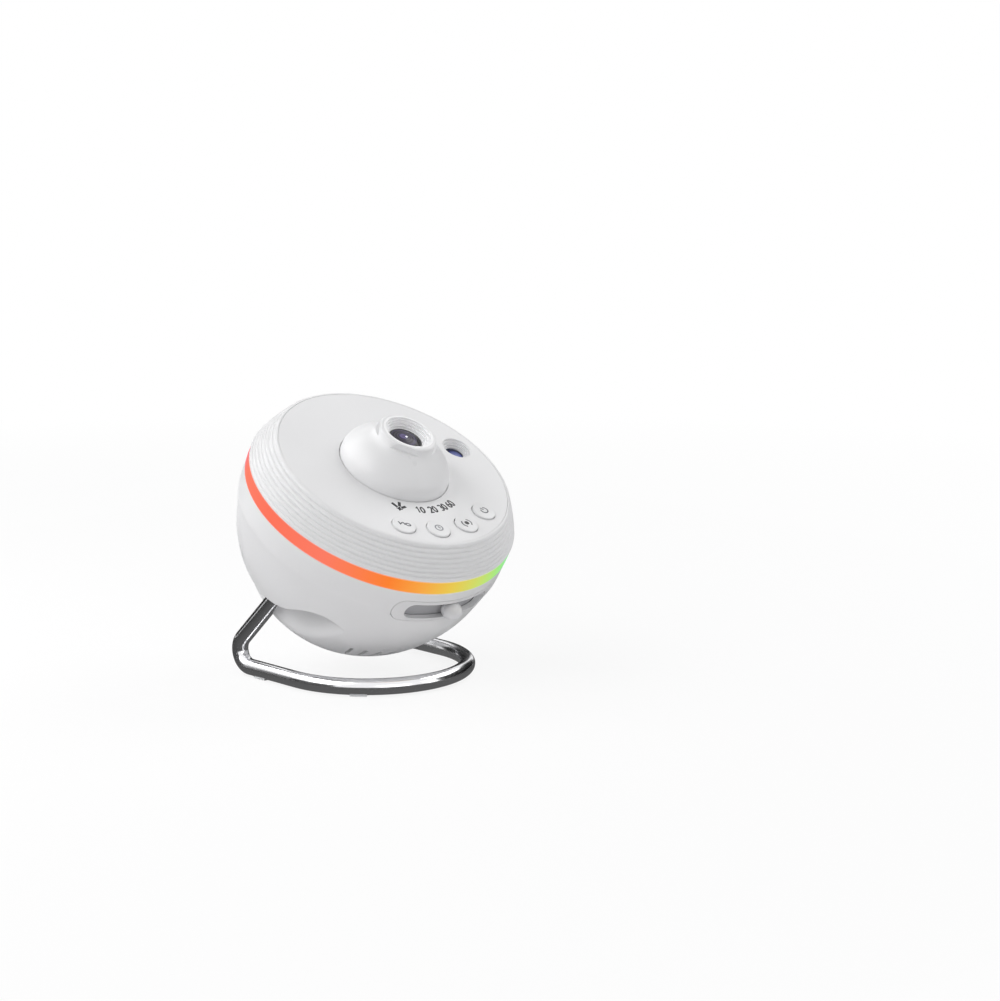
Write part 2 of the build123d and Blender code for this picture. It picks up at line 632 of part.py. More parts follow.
def bezel():
    """Curved frame of the knob's recess, seated in the shell's wall, with a flange behind it."""
    body = stadium(BEZEL_ARC, BEZEL_H, BEZEL_IN, BALL_R + OVER) & half_spheroid(BALL_R, BALL_C)
    lip_arc = BEZEL_ARC + degrees(BEZEL_LIP / BALL_R)
    lip = stadium(lip_arc, BEZEL_H + 2 * BEZEL_LIP, BEZEL_IN, BALL_R)
    body += lip & half_spheroid(INNER_R - RUN, INNER_C - RUN)
    return body - stadium(SLOT_ARC, SLOT_H, BEZEL_IN - OVER, BALL_R + OVER)


def lever_tip():
    """Flat tip of the focus lever, from its arm through the sliding strip into the knob."""
    return block(-TIP_W / 2, TIP_W / 2, -TIP_END, -LEVER_R, FOCUS_Z - TIP_T / 2, FOCUS_Z + TIP_T / 2)


def focus_shutter():
    """Curved strip that slides behind the recess with the lever and keeps it closed."""
    half = SLOT_H / 2 + SHUTTER_LAP
    arc = 2 * (SLOT_ARC + FOCUS_SWING + SHUTTER_END)
    strip = sector(SLOT_FLOOR_R, SLOT_FLOOR_R - SHUTTER_T, FOCUS_Z - half, FOCUS_Z + half, 0, arc)
    return strip - lever_tip()


def bottom_cap():
    """Round cap that closes the ball's underside, with a ring of vents and four screws."""
    cap = half_spheroid(BALL_R, BALL_C) - half_spheroid(INNER_R, INNER_C)
    cap = cap & rod_z(CAP_R, -BALL_C - OVER, CAP_SEAT)
    cap += ring_z(CAP_R, CAP_R - CAP_LEDGE, ball_surface_z(CAP_R - CAP_LEDGE) + WALL / 2, CAP_SEAT) & \
        half_spheroid(BALL_R, BALL_C)
    for i in range(CAP_VENTS):
        slot = block(-VENT_W / 2, VENT_W / 2, -CAP_VENT_OUT, -CAP_VENT_IN, -BALL_C - OVER, CAP_SEAT)
        cap -= Rot(0, 0, 360 / CAP_VENTS * i) * slot
    for spot in CAP_SCREWS:
        cap -= spot * rod_z(SCREW_HEAD_R + GAP, -BALL_C - OVER, CAP_SINK)
        cap -= spot * rod_z(SCREW_R + GAP / 2, -BALL_C - OVER, CAP_SEAT + OVER)
    return cap


def cap_screws():
    """Screws of the bottom cap, driven from below."""
    length = CAP_SEAT + WALL - CAP_SINK
    return group(spot * Pos(0, 0, CAP_SINK) * Rot(180, 0, 0) * screw(length) for spot in CAP_SCREWS)


# ---- light band --------------------------------------------------------------------
def light_band():
    """Frosted ring between the shells, slightly crowned on its outside."""
    edge = BAND_R - BAND_PROUD / 2
    inner = BAND_R - BAND_T
    face = ThreePointArc((edge, 0, 0), (BAND_R, 0, BAND_H / 2), (edge, 0, BAND_H))
    spots = [(edge, 0, BAND_H), (inner, 0, BAND_H), (inner, 0, 0), (edge, 0, 0)]
    return turned(face, *[Line(a, b) for a, b in zip(spots, spots[1:])])


def band_board():
    return ring_z(STRIP_R, STRIP_R - STRIP_T, 0, BAND_H - GAP)


def band_leds():
    leds = []
    for i in range(LED_COUNT):
        led = block(-LED_W / 2, LED_W / 2, -LED_T, LED_T, (BAND_H - LED_W) / 2, (BAND_H + LED_W) / 2)
        leds.append(around(STRIP_R, 360 / LED_COUNT * (i + 0.5)) * led - rod_z(STRIP_R, 0, BAND_H))
    return group(leds)


# ---- upper shell and cover ---------------------------------------------------------
def rib_line(t):
    """Point of the ribbed wall: 0 at the rim, 1 at the light band."""
    radius = RIM_R + (BALL_R - RIM_R) * t + SHELL_BOW * 4 * t * (1 - t)
    return radius, RIM_Z + (BAND_H - RIM_Z) * t


def upper_shell():
    """Ribbed ring with a ledge for the cover and a flange that clamps the light band."""
    slope = atan((BALL_R - RIM_R) / (RIM_Z - BAND_H))
    edges = []
    for i in range(RIB_COUNT):
        a, b = rib_line(i / RIB_COUNT), rib_line((i + 1) / RIB_COUNT)
        out, up = RIB_BULGE * cos(slope), RIB_BULGE * sin(slope)
        middle = ((a[0] + b[0]) / 2 + out, 0, (a[1] + b[1]) / 2 + up)
        edges.append(ThreePointArc((a[0], 0, a[1]), middle, (b[0], 0, b[1])))
    across = WALL / cos(slope)
    under_ledge = COVER_Z - WALL
    at_ledge = rib_line((RIM_Z - under_ledge) / (RIM_Z - BAND_H))[0] - across
    at_flange = rib_line((RIM_Z - BAND_H - WALL) / (RIM_Z - BAND_H))[0] - across
    seat_r = COVER_R + COVER_FIT
    floor = BAND_H + WALL
    inside = [(BALL_R, BAND_H), (FLANGE_R, BAND_H), (FLANGE_R, floor), (at_flange, floor), (at_ledge, under_ledge),
              (LEDGE_R, under_ledge), (LEDGE_R, COVER_Z), (seat_r, COVER_Z), (seat_r, RIM_Z), (RIM_R, RIM_Z)]
    spots = [(r, 0, z) for r, z in inside]
    edges += [Line(a, b) for a, b in zip(spots, spots[1:])]
    shell = turned(*edges)
    for azimuth in EAR_AT:
        ear = rod_z(EAR_R, BAND_H, BAND_H + WALL) + rod_z(PILLAR_R, 0, BAND_H)
        ear += block(-EAR_R, EAR_R, -EAR_IN - OVER, 0, BAND_H, BAND_H + WALL)
        shell += around(EAR_RING, azimuth) * ear
    for azimuth in EAR_AT:
        shell -= around(EAR_RING, azimuth) * rod_z(SCREW_R + GAP / 2, -OVER, BAND_H + WALL + OVER)
    return shell


def case_screws():
    """Four screws that clamp both shells and the light band."""
    length = BAND_H + WALL + CASE_SCREW_L
    return group(around(EAR_RING, azimuth, BAND_H + WALL) * screw(length) for azimuth in EAR_AT)


def meteor_steps():
    """Radii and heights of the stepped well round the shooting-star lens."""
    steps = []
    for i in range(METEOR_STEPS):
        radius = METEOR_LENS_R + (METEOR_WELL_R - METEOR_LENS_R) * (i + 1) / METEOR_STEPS
        steps.append((radius, METEOR_LENS_Z + METEOR_WELL_D * i / METEOR_STEPS))
    return steps


def top_cover():
    """Flat round cover with the dome's seat, the stepped well, button holes and clips."""
    cover = rod_z(COVER_R, COVER_Z, RIM_Z)
    cover = chamfer(cover.edges().group_by(Axis.Z)[-1], COVER_EDGE)
    cover += METEOR_LOC * rod_z(METEOR_WELL_R + METEOR_T, METEOR_LENS_Z - METEOR_T, COVER_Z)
    for spot in BOSS_SPOTS:
        cover += spot * rod_z(BOSS_R, BOARD_Z, COVER_Z)
    hook_r = LEDGE_R - GAP
    barb_z = COVER_Z - WALL - GAP
    for i in range(CLIP_COUNT):
        turn = 360 / CLIP_COUNT * i
        cover += sector(hook_r, hook_r - CLIP_T, barb_z - CLIP_END, COVER_Z, turn, CLIP_ARC)
        cover += sector(hook_r + BARB, hook_r - CLIP_T, barb_z - CLIP_END, barb_z, turn, CLIP_ARC)
    cover -= rod_z(DOME_R + DOME_SEAM, DOME_FOOT_Z, RIM_Z + OVER)
    cover -= rod_z(DOME_BORE, COVER_Z - OVER, RIM_Z)
    for i in range(LUG_COUNT):
        cover -= sector(DOME_BORE + SKIRT_T + GAP, DOME_BORE - OVER, COVER_Z - OVER, RIM_Z,
                        360 / LUG_COUNT * (i + 0.5), LUG_ARC + LUG_FREE)
    for radius, height in meteor_steps():
        cover -= METEOR_LOC * rod_z(radius, height, RIM_Z + OVER)
    cover -= METEOR_LOC * rod_z(METEOR_LENS_R, METEOR_LENS_Z - METEOR_T - OVER, RIM_Z)
    hole = rod_z(BUTTON_R + BUTTON_GAP, COVER_Z - OVER, RIM_Z + OVER)
    for azimuth in BUTTON_AZ:
        cover -= around(BUTTON_RING, azimuth) * hole
    for spot in BOSS_SPOTS:
        cover -= spot * rod_z(SCREW_R, BOARD_Z - OVER, COVER_Z)
    return cover


# ---- lens dome ---------------------------------------------------------------------
def dome_body(inset):
    """Bell-shaped solid of revolution; the inset gives the hollow inside it."""
    foot = (DOME_R - inset, 0, DOME_FOOT_Z)
    rise = (DOME_R - inset, 0, RIM_Z + DOME_FOOT_H)
    neck = (DOME_NECK_R - inset, 0, DOME_TOP - DOME_LIP_H)
    line = [(DOME_R, DOME_FOOT_H), DOME_SHOULDER, DOME_WAIST, (DOME_NECK_R, DOME_H - DOME_LIP_H)]
    flow = [rise]
    for below, (radius, height), above in zip(line, line[1:], line[2:]):
        run, climb = below[0] - above[0], above[1] - below[1]
        share = inset / sqrt(run ** 2 + climb ** 2)
        flow.append((radius - climb * share, 0, RIM_Z + height - run * share))
    flow = Spline(*flow, neck, tangents=[(0, 0, 1), (-DOME_LEAN, 0, 1)])
    lip = FUNNEL_R + (DOME_NECK_R - FUNNEL_R) * DOME_LIP - inset
    turn = sin(pi / 4)
    middle = (lip + (neck[0] - lip) * turn, 0, DOME_TOP - DOME_LIP_H * (1 - turn))
    bend = ThreePointArc(neck, middle, (lip, 0, DOME_TOP))
    return turned(Line(foot, rise), flow, bend, Line((lip, 0, DOME_TOP), (0, 0, DOME_TOP)),
                  Line((0, 0, DOME_TOP), (0, 0, DOME_FOOT_Z)), Line((0, 0, DOME_FOOT_Z), foot))


def lens_dome():
    """Bell over the projection lens, with finger notches at its neck and a bayonet foot."""
    outside = dome_body(0)
    dome = outside - dome_body(DOME_T)
    dome += ring_z(DOME_NECK_R, FUNNEL_BORE + SKIRT_T, FUNNEL_LOW - DOME_T, DOME_TOP) & outside
    dome += ring_z(DOME_R - DOME_T / 2, DOME_BORE - GAP - SKIRT_T, DOME_FOOT_Z, DOME_FOOT_Z + SKIRT_T)
    dome += ring_z(DOME_BORE - GAP, DOME_BORE - GAP - SKIRT_T, COVER_Z - SKIRT_DROP, DOME_FOOT_Z)
    for i in range(LUG_COUNT):
        dome += sector(DOME_BORE + SKIRT_T - GAP, DOME_BORE - GAP - SKIRT_T / 2, COVER_Z - SKIRT_DROP,
                       COVER_Z - GAP, 360 / LUG_COUNT * i, LUG_ARC)
    notch = block(-DOME_R, DOME_R, -DOME_R, -NOTCH_FLAT, DOME_TOP - NOTCH_DEPTH, DOME_TOP + OVER)
    for i in range(NOTCH_COUNT):
        dome -= Rot(0, 0, NOTCH_FIRST + 360 / NOTCH_COUNT * i) * notch
    dome -= rod_z(FUNNEL_R, FUNNEL_LOW, DOME_TOP + OVER)
    return dome


def funnel():
    """Stepped ring that narrows from the dome's mouth to the lens."""
    spots = [(FUNNEL_BORE, FUNNEL_LOW), (FUNNEL_R, FUNNEL_LOW), (FUNNEL_R, DOME_TOP)]
    mouth = FUNNEL_R - FUNNEL_LIP
    tread = (mouth - FUNNEL_BORE) / FUNNEL_STEPS
    riser = FUNNEL_DEPTH / FUNNEL_STEPS
    for i in range(FUNNEL_STEPS):
        radius = mouth - tread * i
        spots += [(radius, DOME_TOP - riser * i), (radius, DOME_TOP - riser * (i + 1))]
    spots.append((FUNNEL_BORE, DOME_TOP - FUNNEL_DEPTH))
    return turned(*outline(*spots))


# ---- projection lens ---------------------------------------------------------------
def lens_solid(radius, low, high, rise):
    """Disc of glass with a crowned upper face."""
    return turned(Line((0, 0, low), (radius, 0, low)), Line((radius, 0, low), (radius, 0, high)),
                  crown(radius, high, rise), Line((0, 0, high + rise), (0, 0, low)))


def front_lens():
    return lens_solid(LENS_R, NOSE_TOP - LENS_T, NOSE_TOP, LENS_RISE)


def rear_lens():
    low = FOCUS_Z + PIN_R + REAR_LENS_T
    return lens_solid(BARREL_R - BARREL_T - RUN, low, low + REAR_LENS_T / 2, REAR_LENS_T / 2)


def lens_barrel():
    """Black barrel with a stepped nose, seats for both lenses and three cam pins."""
    bore = BARREL_R - BARREL_T
    seat = FOCUS_Z + PIN_R + REAR_LENS_T
    barrel = ring_z(BARREL_R, bore, BARREL_END, BARREL_TOP)
    barrel += ring_z(BARREL_R, LENS_R - LENS_SEAT, BARREL_TOP - BARREL_T, BARREL_TOP)
    barrel += ring_z(NOSE_R, LENS_R - LENS_SEAT, BARREL_TOP, NOSE_TOP - LENS_T)
    barrel += ring_z(NOSE_R, LENS_R, NOSE_TOP - LENS_T, NOSE_TOP)
    barrel += ring_z(bore, bore - REAR_SEAT, seat - REAR_SEAT, seat)
    root = bore + BARREL_T / 2
    pin = Cylinder(PIN_R, FOCUS_R - FOCUS_RING_T / 2 - root, align=C_MIN)
    pin = Rot(90, 0, 0) * Pos(0, 0, root) * pin
    for i in range(PIN_COUNT):
        barrel += Pos(0, 0, FOCUS_Z) * Rot(0, 0, 360 / PIN_COUNT * (i + 0.5)) * pin
    return barrel


def focus_tube():
    """Fixed tube round the barrel, with a cup over the gear and upright slots for the pins."""
    shoulder = FOCUS_Z - FOCUS_RING_H / 2
    tube = ring_z(TUBE_R, TUBE_IN, CUP_ROOF, TUBE_TOP)
    tube += ring_z(TUBE_R + FOCUS_RING_T / 2, TUBE_IN, CUP_ROOF, shoulder)
    tube += ring_z(CUP_R, TUBE_IN, CUP_ROOF, CUP_ROOF + CUP_T)
    tube += ring_z(CUP_R, CUP_IN, STAGE_Z, CUP_ROOF)
    inside = rod_z(CUP_IN, STAGE_Z - OVER, CUP_ROOF)
    for spot in EAR_SPOTS:
        tube += spot * rod_z(CUP_EAR_R, STAGE_Z, STAGE_Z + CUP_T) - inside
    for spot in EAR_SPOTS:
        tube -= spot * rod_z(SCREW_R + GAP / 2, STAGE_Z - OVER, STAGE_Z + CUP_T + OVER)
    window = PINION_PITCH_R + MODULE + CUP_AIR
    tube -= Pos(0, GEAR_AXIS, 0) * rod_z(window, STAGE_Z - OVER, CUP_ROOF + CUP_T + OVER)
    reach = FOCUS_TRAVEL + PIN_R + GAP
    half = PIN_R + GAP / 2
    for i in range(PIN_COUNT):
        slot = block(-half, half, -TUBE_R - OVER, -TUBE_IN + OVER, FOCUS_Z - reach, FOCUS_Z + reach)
        tube -= Rot(0, 0, 360 / PIN_COUNT * (i + 0.5)) * slot
    clip_z = FOCUS_Z + FOCUS_RING_H / 2
    tube -= ring_z(TUBE_R + OVER, TUBE_R - CLIP_GROOVE, clip_z, clip_z + CLIP_RING_H)
    return tube


def focus_clip():
    """Split ring that keeps the focus ring on its tube."""
    clip_z = FOCUS_Z + FOCUS_RING_H / 2
    inner = TUBE_R - CLIP_GROOVE + RUN
    ring = ring_z(TUBE_R + CLIP_RING_W, inner, clip_z + RUN, clip_z + CLIP_RING_H - RUN)
    return ring - sector(FOCUS_R + OVER, inner - OVER, clip_z, clip_z + CLIP_RING_H, 180, CLIP_OPEN)


def focus_ring():
    """Ring with slanted cam slots and the lever that carries the knob."""
    bore = TUBE_R + RUN
    low, high = FOCUS_Z - FOCUS_RING_H / 2 + RUN, FOCUS_Z + FOCUS_RING_H / 2 - RUN
    ring = ring_z(FOCUS_R, bore, low, high)
    ring += block(-ARM_W / 2, ARM_W / 2, -LEVER_R, -bore - RUN, FOCUS_Z - ARM_T / 2, FOCUS_Z + ARM_T / 2)
    ring += lever_tip()
    middle = (bore + FOCUS_R) / 2
    run = middle * radians(FOCUS_SWING)
    slant = degrees(atan(FOCUS_TRAVEL / run))
    width = 2 * (PIN_R + GAP)
    length = 2 * (run / cos(radians(slant)) + PIN_R + GAP)
    for i in range(PIN_COUNT):
        slot = Rot(90, 0, 0) * extrude(SlotOverall(length, width, rotation=slant), FOCUS_R + OVER)
        ring -= Pos(0, 0, FOCUS_Z) * Rot(0, 0, 360 / PIN_COUNT * (i + 0.5)) * slot
    return ring


def focus_knob():
    """Domed knob, seated on the sliding strip and the lever's tip."""
    knob = Pos(0, -KNOB_Y, FOCUS_Z) * scale(Sphere(1), by=KNOB)
    knob -= rod_z(SLOT_FLOOR_R, FOCUS_Z - SLOT_H, FOCUS_Z + SLOT_H)
    return knob - lever_tip()


# ---- rotating picture --------------------------------------------------------------
def gear_blank(teeth, low, high):
    """Spur gear with straight-flanked teeth on its pitch circle."""
    pitch_r = MODULE * teeth / 2
    root, tip = pitch_r - DEDENDUM * MODULE, pitch_r + ADDENDUM * MODULE
    half = pi * MODULE / 4 - GAP / 2
    lean = tan(radians(PRESSURE_ANGLE))
    blank = rod_z(root, low, high)
    foot = root - GAP
    wide, narrow = half + (pitch_r - foot) * lean, half - (tip - pitch_r) * lean
    tooth = Polyline((wide, -foot), (narrow, -tip), (-narrow, -tip), (-wide, -foot), close=True)
    tooth = Pos(0, 0, low) * extrude(make_face(tooth), high - low)
    teeth_group = [Rot(0, 0, 360 / teeth * i) * tooth for i in range(teeth)]
    return blank + teeth_group


def disc_gear():
    """Ring gear that carries the picture disc in a shallow recess."""
    gear = gear_blank(GEAR_TEETH, GEAR_Z, FILM_Z + FILM_T)
    gear -= rod_z(COLLAR_R + RUN, GEAR_Z - OVER, FILM_Z + OVER)
    return gear - rod_z(FILM_R + RUN, FILM_Z, FILM_Z + FILM_T + OVER)


def film_disc():
    return rod_z(FILM_R, FILM_Z, FILM_Z + FILM_T)


def pinion():
    """Motor pinion and its shaft, set half a tooth round so that it meshes at rest."""
    wheel = Rot(0, 0, 180 / PINION_TEETH) * gear_blank(PINION_TEETH, GEAR_Z, FILM_Z)
    wheel += rod_z(SHAFT_R, STAGE_LOW - SHAFT_SINK, GEAR_Z)
    return Pos(0, GEAR_AXIS, 0) * wheel


def motor():
    """Small geared motor under the stage."""
    low = STAGE_LOW - MOTOR_H
    body = rod_z(MOTOR_R, low, STAGE_LOW)
    body = chamfer(body.edges().group_by(Axis.Z)[0], MOTOR_EDGE)
    body += rod_z(MOTOR_R / 3, low - MOTOR_END_H, low)
    width, thick, length = MOTOR_TAB
    for x in (MOTOR_R / 2, -MOTOR_R / 2):
        body += block(x - width / 2, x + width / 2, -thick / 2, thick / 2, low - length, low)
    body -= rod_z(SHAFT_R + RUN, STAGE_LOW - SHAFT_SINK - GAP, STAGE_LOW + OVER)
    return Pos(0, GEAR_AXIS, 0) * body


def gear_stage():
    """Plate with the collar that the gear turns on and a lobe for the motor."""
    lobe = MOTOR_R + STAGE_T
    stage = rod_z(CUP_R, STAGE_LOW, STAGE_Z) + Pos(0, GEAR_AXIS, 0) * rod_z(lobe, STAGE_LOW, STAGE_Z)
    for spot in EAR_SPOTS:
        stage += spot * rod_z(CUP_EAR_R, STAGE_LOW, STAGE_Z)
    stage += rod_z(COLLAR_R + COLLAR_LIP, STAGE_Z, GEAR_Z - RUN)
    stage += rod_z(COLLAR_R, STAGE_Z, FILM_Z - GAP)
    stage -= rod_z(LIGHT_R, STAGE_LOW - OVER, FILM_Z)
    stage -= Pos(0, GEAR_AXIS, 0) * rod_z(SHAFT_R + GAP, STAGE_LOW - OVER, STAGE_Z + OVER)
    for spot in EAR_SPOTS:
        stage -= spot * rod_z(SCREW_R + GAP / 2, STAGE_LOW - OVER, STAGE_Z + OVER)
    return stage


def stage_screws():
    """Screws through the cup's ears and the stage into the lamp's columns."""
    length = CUP_T + STAGE_T + SCREW_BITE
    return group(spot * Pos(0, 0, STAGE_Z + CUP_T) * screw(length) for spot in EAR_SPOTS)


# ---- lamp --------------------------------------------------------------------------
def lamp_housing():
    """Tube over the lamp, with a ledge for the condenser and four columns up to the stage."""
    bore = LAMP_R - LAMP_T
    tube = ring_z(LAMP_R, bore, CHASSIS_Z, STAGE_LOW)
    tube += ring_z(bore + LAMP_T / 2, bore - CONDENSER_SEAT, CONDENSER_Z - CONDENSER_SEAT, CONDENSER_Z)
    web = block(-LAMP_T / 2, LAMP_T / 2, 0, EAR_OUT - bore - LAMP_T / 2, CHASSIS_Z, STAGE_LOW)
    hole = rod_z(SCREW_R, CHASSIS_Z - OVER, STAGE_LOW + OVER)
    for spot in EAR_SPOTS:
        tube += spot * (web + rod_z(CUP_EAR_R, CHASSIS_Z, STAGE_LOW))
    for spot in EAR_SPOTS:
        tube -= spot * hole
    return tube


def condenser():
    half = CONDENSER_T / 2
    return lens_solid(LAMP_R - LAMP_T - RUN, CONDENSER_Z, CONDENSER_Z + half, half)


def chassis():
    """Plate across the ball that carries the lamp, the gear stage and the heat sink."""
    x, y = POST_X + CHASSIS_EDGE, POST_Y + CHASSIS_EDGE
    plate = block(-x, x, -y, y, CHASSIS_LOW, CHASSIS_Z)
    plate = fillet(plate.edges().filter_by(Axis.Z), POST_R * 2)
    plate -= rod_z(LAMP_R - LAMP_T, CHASSIS_LOW - OVER, CHASSIS_Z + OVER)
    for spot in POSTS + SINK_SPOTS + EAR_SPOTS:
        plate -= spot * rod_z(SCREW_R + GAP / 2, CHASSIS_LOW - OVER, CHASSIS_Z + OVER)
    return plate


def chassis_screws():
    """Screws through the chassis plate: into the posts, the sink's spacers and the lamp's columns."""
    screws = [spot * Pos(0, 0, CHASSIS_Z) * screw(CHASSIS_T + SCREW_BITE) for spot in POSTS]
    screws += [spot * Pos(0, 0, CHASSIS_Z) * screw(CHASSIS_T + STAR_T) for spot in SINK_SPOTS]
    low = Pos(0, 0, CHASSIS_LOW) * Rot(180, 0, 0)
    screws += [spot * low * screw(CHASSIS_T + SCREW_BITE, SCREW_SMALL_R) for spot in EAR_SPOTS]
    return group(screws)


def lamp_board():
    """Round metal-core board under the chassis, on the heat sink."""
    board = rod_z(STAR_R, STAR_LOW, CHASSIS_LOW)
    notch = rod_z(SCREW_R + GAP, STAR_LOW - OVER, CHASSIS_LOW + OVER)
    for i in range(STAR_POINTS):
        board -= around(STAR_R, 360 / STAR_POINTS * i) * notch
    return board


def lamp_screws():
    return group(spot * Pos(0, 0, CHASSIS_LOW) * screw(STAR_T + STAR_BITE) for spot in STAR_SPOTS)


def emitter():
    return lens_solid(EMITTER_R, CHASSIS_LOW, CHASSIS_LOW + EMITTER_BASE, EMITTER_RISE)


def heat_sink():
    """Round sink with straight fins and three spacers up to the chassis."""
    sink = rod_z(SINK_R, SINK_LOW, STAR_LOW)
    room = rod_z(SINK_R, SINK_LOW - SINK_FIN_H, SINK_LOW)
    pitch = (2 * SINK_R - FIN_T) / FIN_COUNT
    for i in range(FIN_COUNT):
        x = pitch * (i - (FIN_COUNT - 1) / 2)
        fin = block(x - FIN_T / 2, x + FIN_T / 2, -SINK_R, SINK_R, SINK_LOW - SINK_FIN_H, SINK_LOW)
        sink += fin & room
    for spot in SINK_SPOTS:
        sink += spot * rod_z(SPACER_R, STAR_LOW, CHASSIS_LOW)
    for spot in SINK_SPOTS:
        sink -= spot * rod_z(SCREW_R, STAR_LOW, CHASSIS_LOW + OVER)
    for spot in STAR_SPOTS:
        sink -= spot * rod_z(SCREW_R, STAR_LOW - STAR_BITE, STAR_LOW + OVER)
    return sink


# ---- shooting-star projector -------------------------------------------------------
def meteor_lens():
    under = METEOR_LENS_Z - METEOR_T
    low = under - METEOR_FLANGE
    body = lens_solid(METEOR_LENS_R - RUN, low, under + METEOR_T / 2, METEOR_T / 2)
    return METEOR_LOC * (body + rod_z(METEOR_BORE, low, under))


def meteor_tube():
    """Dark tube that hangs under the stepped well and holds the small lens."""
    top = METEOR_LENS_Z - METEOR_T
    seat = top - METEOR_FLANGE
    tube = ring_z(METEOR_BORE + METEOR_T, METEOR_BORE, METEOR_LOW, top)
    tube += ring_z(METEOR_BORE, METEOR_LENS_R, seat - METEOR_SEAT, seat)
    return METEOR_LOC * tube


def meteor_lamp():
    """Small board that closes the tube, with its laser emitter."""
    body = rod_z(METEOR_BORE + METEOR_T, METEOR_LOW - LASER_BOARD_T, METEOR_LOW)
    return METEOR_LOC * (body + rod_z(LASER_R, METEOR_LOW, METEOR_LOW + LASER_H))


# ---- buttons and main board --------------------------------------------------------
def button(azimuth):
    """Round cap with a flange under the cover and a stem down into its switch."""
    flange_r = BUTTON_R + FLANGE_W
    under = COVER_Z - GAP / 2
    top = RIM_Z + BUTTON_PROUD
    low = under - FLANGE_T
    spots = [(0, 0, low), (flange_r, 0, low), (flange_r, 0, under), (BUTTON_R, 0, under),
             (BUTTON_R, 0, top - BUTTON_EDGE)]
    edges = [Line(a, b) for a, b in zip(spots, spots[1:])]
    bend = BUTTON_EDGE * (1 - cos(pi / 4))
    middle = (BUTTON_R - bend, 0, top - bend)
    edges.append(ThreePointArc(spots[-1], middle, (BUTTON_R - BUTTON_EDGE, 0, top)))
    edges.append(crown(BUTTON_R - BUTTON_EDGE, top, BUTTON_DISH))
    edges.append(Line((0, 0, top + BUTTON_DISH), spots[0]))
    cap = turned(*edges) + rod_z(STEM_R, SWITCH_TOP - STEM_SINK, low)
    return around(BUTTON_RING, azimuth) * cap


def main_board():
    """Ring-shaped board under the cover, open round the dome and notched for the small tube."""
    board = ring_z(BOARD_R, BOARD_HOLE, BOARD_Z - BOARD_T, BOARD_Z)
    half = METEOR_BORE + METEOR_T + GAP
    board -= METEOR_LOC * rod_z(half, BOARD_Z - BOARD_T - OVER, BOARD_Z + OVER)
    board -= METEOR_LOC * block(-half, half, -BOARD_R, 0, BOARD_Z - BOARD_T - OVER, BOARD_Z + OVER)
    for spot in BOSS_SPOTS:
        board -= spot * rod_z(SCREW_R + GAP / 2, BOARD_Z - BOARD_T - OVER, BOARD_Z + OVER)
    return board


def board_screws():
    low = Pos(0, 0, BOARD_Z - BOARD_T) * Rot(180, 0, 0)
    return group(spot * low * screw(BOARD_T + SCREW_BITE, BOSS_R) for spot in BOSS_SPOTS)


def switches():
    """Tact switches under the buttons; each takes its button's stem in a round well."""
    half = SWITCH_W / 2
    pieces = []
    for azimuth in BUTTON_AZ:
        body = block(-half, half, -half, half, BOARD_Z, SWITCH_TOP)
        body -= rod_z(STEM_R + GAP, SWITCH_TOP - STEM_SINK - BUTTON_TRAVEL - GAP, SWITCH_TOP + OVER)
        pieces.append(around(BUTTON_RING, azimuth) * body)
    return group(pieces)


def board_chips():
    """Chips and cable headers on the main board, and two capacitors."""
    pieces = []
    for azimuth, length, width, height in CHIPS:
        chip = block(-length / 2, length / 2, -width / 2, width / 2, BOARD_Z, BOARD_Z + height)
        pieces.append(around(CHIP_RING, azimuth) * chip)
    for azimuth in CAPACITOR_AZ:
        pieces.append(around(CHIP_RING, azimuth) * rod_z(CAPACITOR_R, BOARD_Z, BOARD_Z + CAPACITOR_H))
    return group(pieces)


# ---- power socket ------------------------------------------------------------------
def usb_board():
    half = USB_BOARD_W / 2
    return block(-half, half, PORT_FACE - USB_BOARD_L, ball_inner_back() - GAP,
                 USB_BOARD_Z - USB_BOARD_T, USB_BOARD_Z)


def ball_inner_back():
    """Where the back wall's inside meets the socket's board."""
    corner = USB_BOARD_W / 2
    deep = USB_BOARD_Z - USB_BOARD_T
    return sqrt((INNER_R * sqrt(1 - (deep / INNER_C) ** 2)) ** 2 - corner ** 2)


def usb_socket():
    """Reversible power socket: a rounded shell with a flat tongue."""
    y0, y1 = PORT_FACE - SOCKET_L, PORT_FACE
    outer = SlotOverall(SOCKET_W, SOCKET_H)
    inner = SlotOverall(SOCKET_W - 2 * SOCKET_SKIN, SOCKET_H - 2 * SOCKET_SKIN)
    body = Pos(0, y1, SOCKET_Z) * Rot(90, 0, 0) * extrude(outer, SOCKET_L)
    body -= Pos(0, y1 + OVER, SOCKET_Z) * Rot(90, 0, 0) * extrude(inner, SOCKET_L - SOCKET_BACK + OVER)
    tongue = block(-TONGUE_W / 2, TONGUE_W / 2, y0, y1 - SOCKET_BACK,
                   SOCKET_Z - SOCKET_SKIN, SOCKET_Z + SOCKET_SKIN)
    return body + tongue


# ---- bushes ------------------------------------------------------------------------
def pivot_bushes():
    """Flanged bushes that the pivot pins turn in."""
    bushes = []
    for side in (1, -1):
        bush = hub(side, ROD_R + BUSH_T, BUSH_END, HUB_FLOOR)
        bush += hub(side, HUB_R - BUSH_RIM, HUB_FLOOR, HUB_FLOOR + BUSH_FLANGE)
        bushes.append(bush - hub(side, ROD_R + RUN, BUSH_END - OVER, POCKET_IN))
    return group(bushes)


# ---- set out and write -------------------------------------------------------------
BUTTON_NAMES = ("meteor_button", "timer_button", "light_button", "power_button")

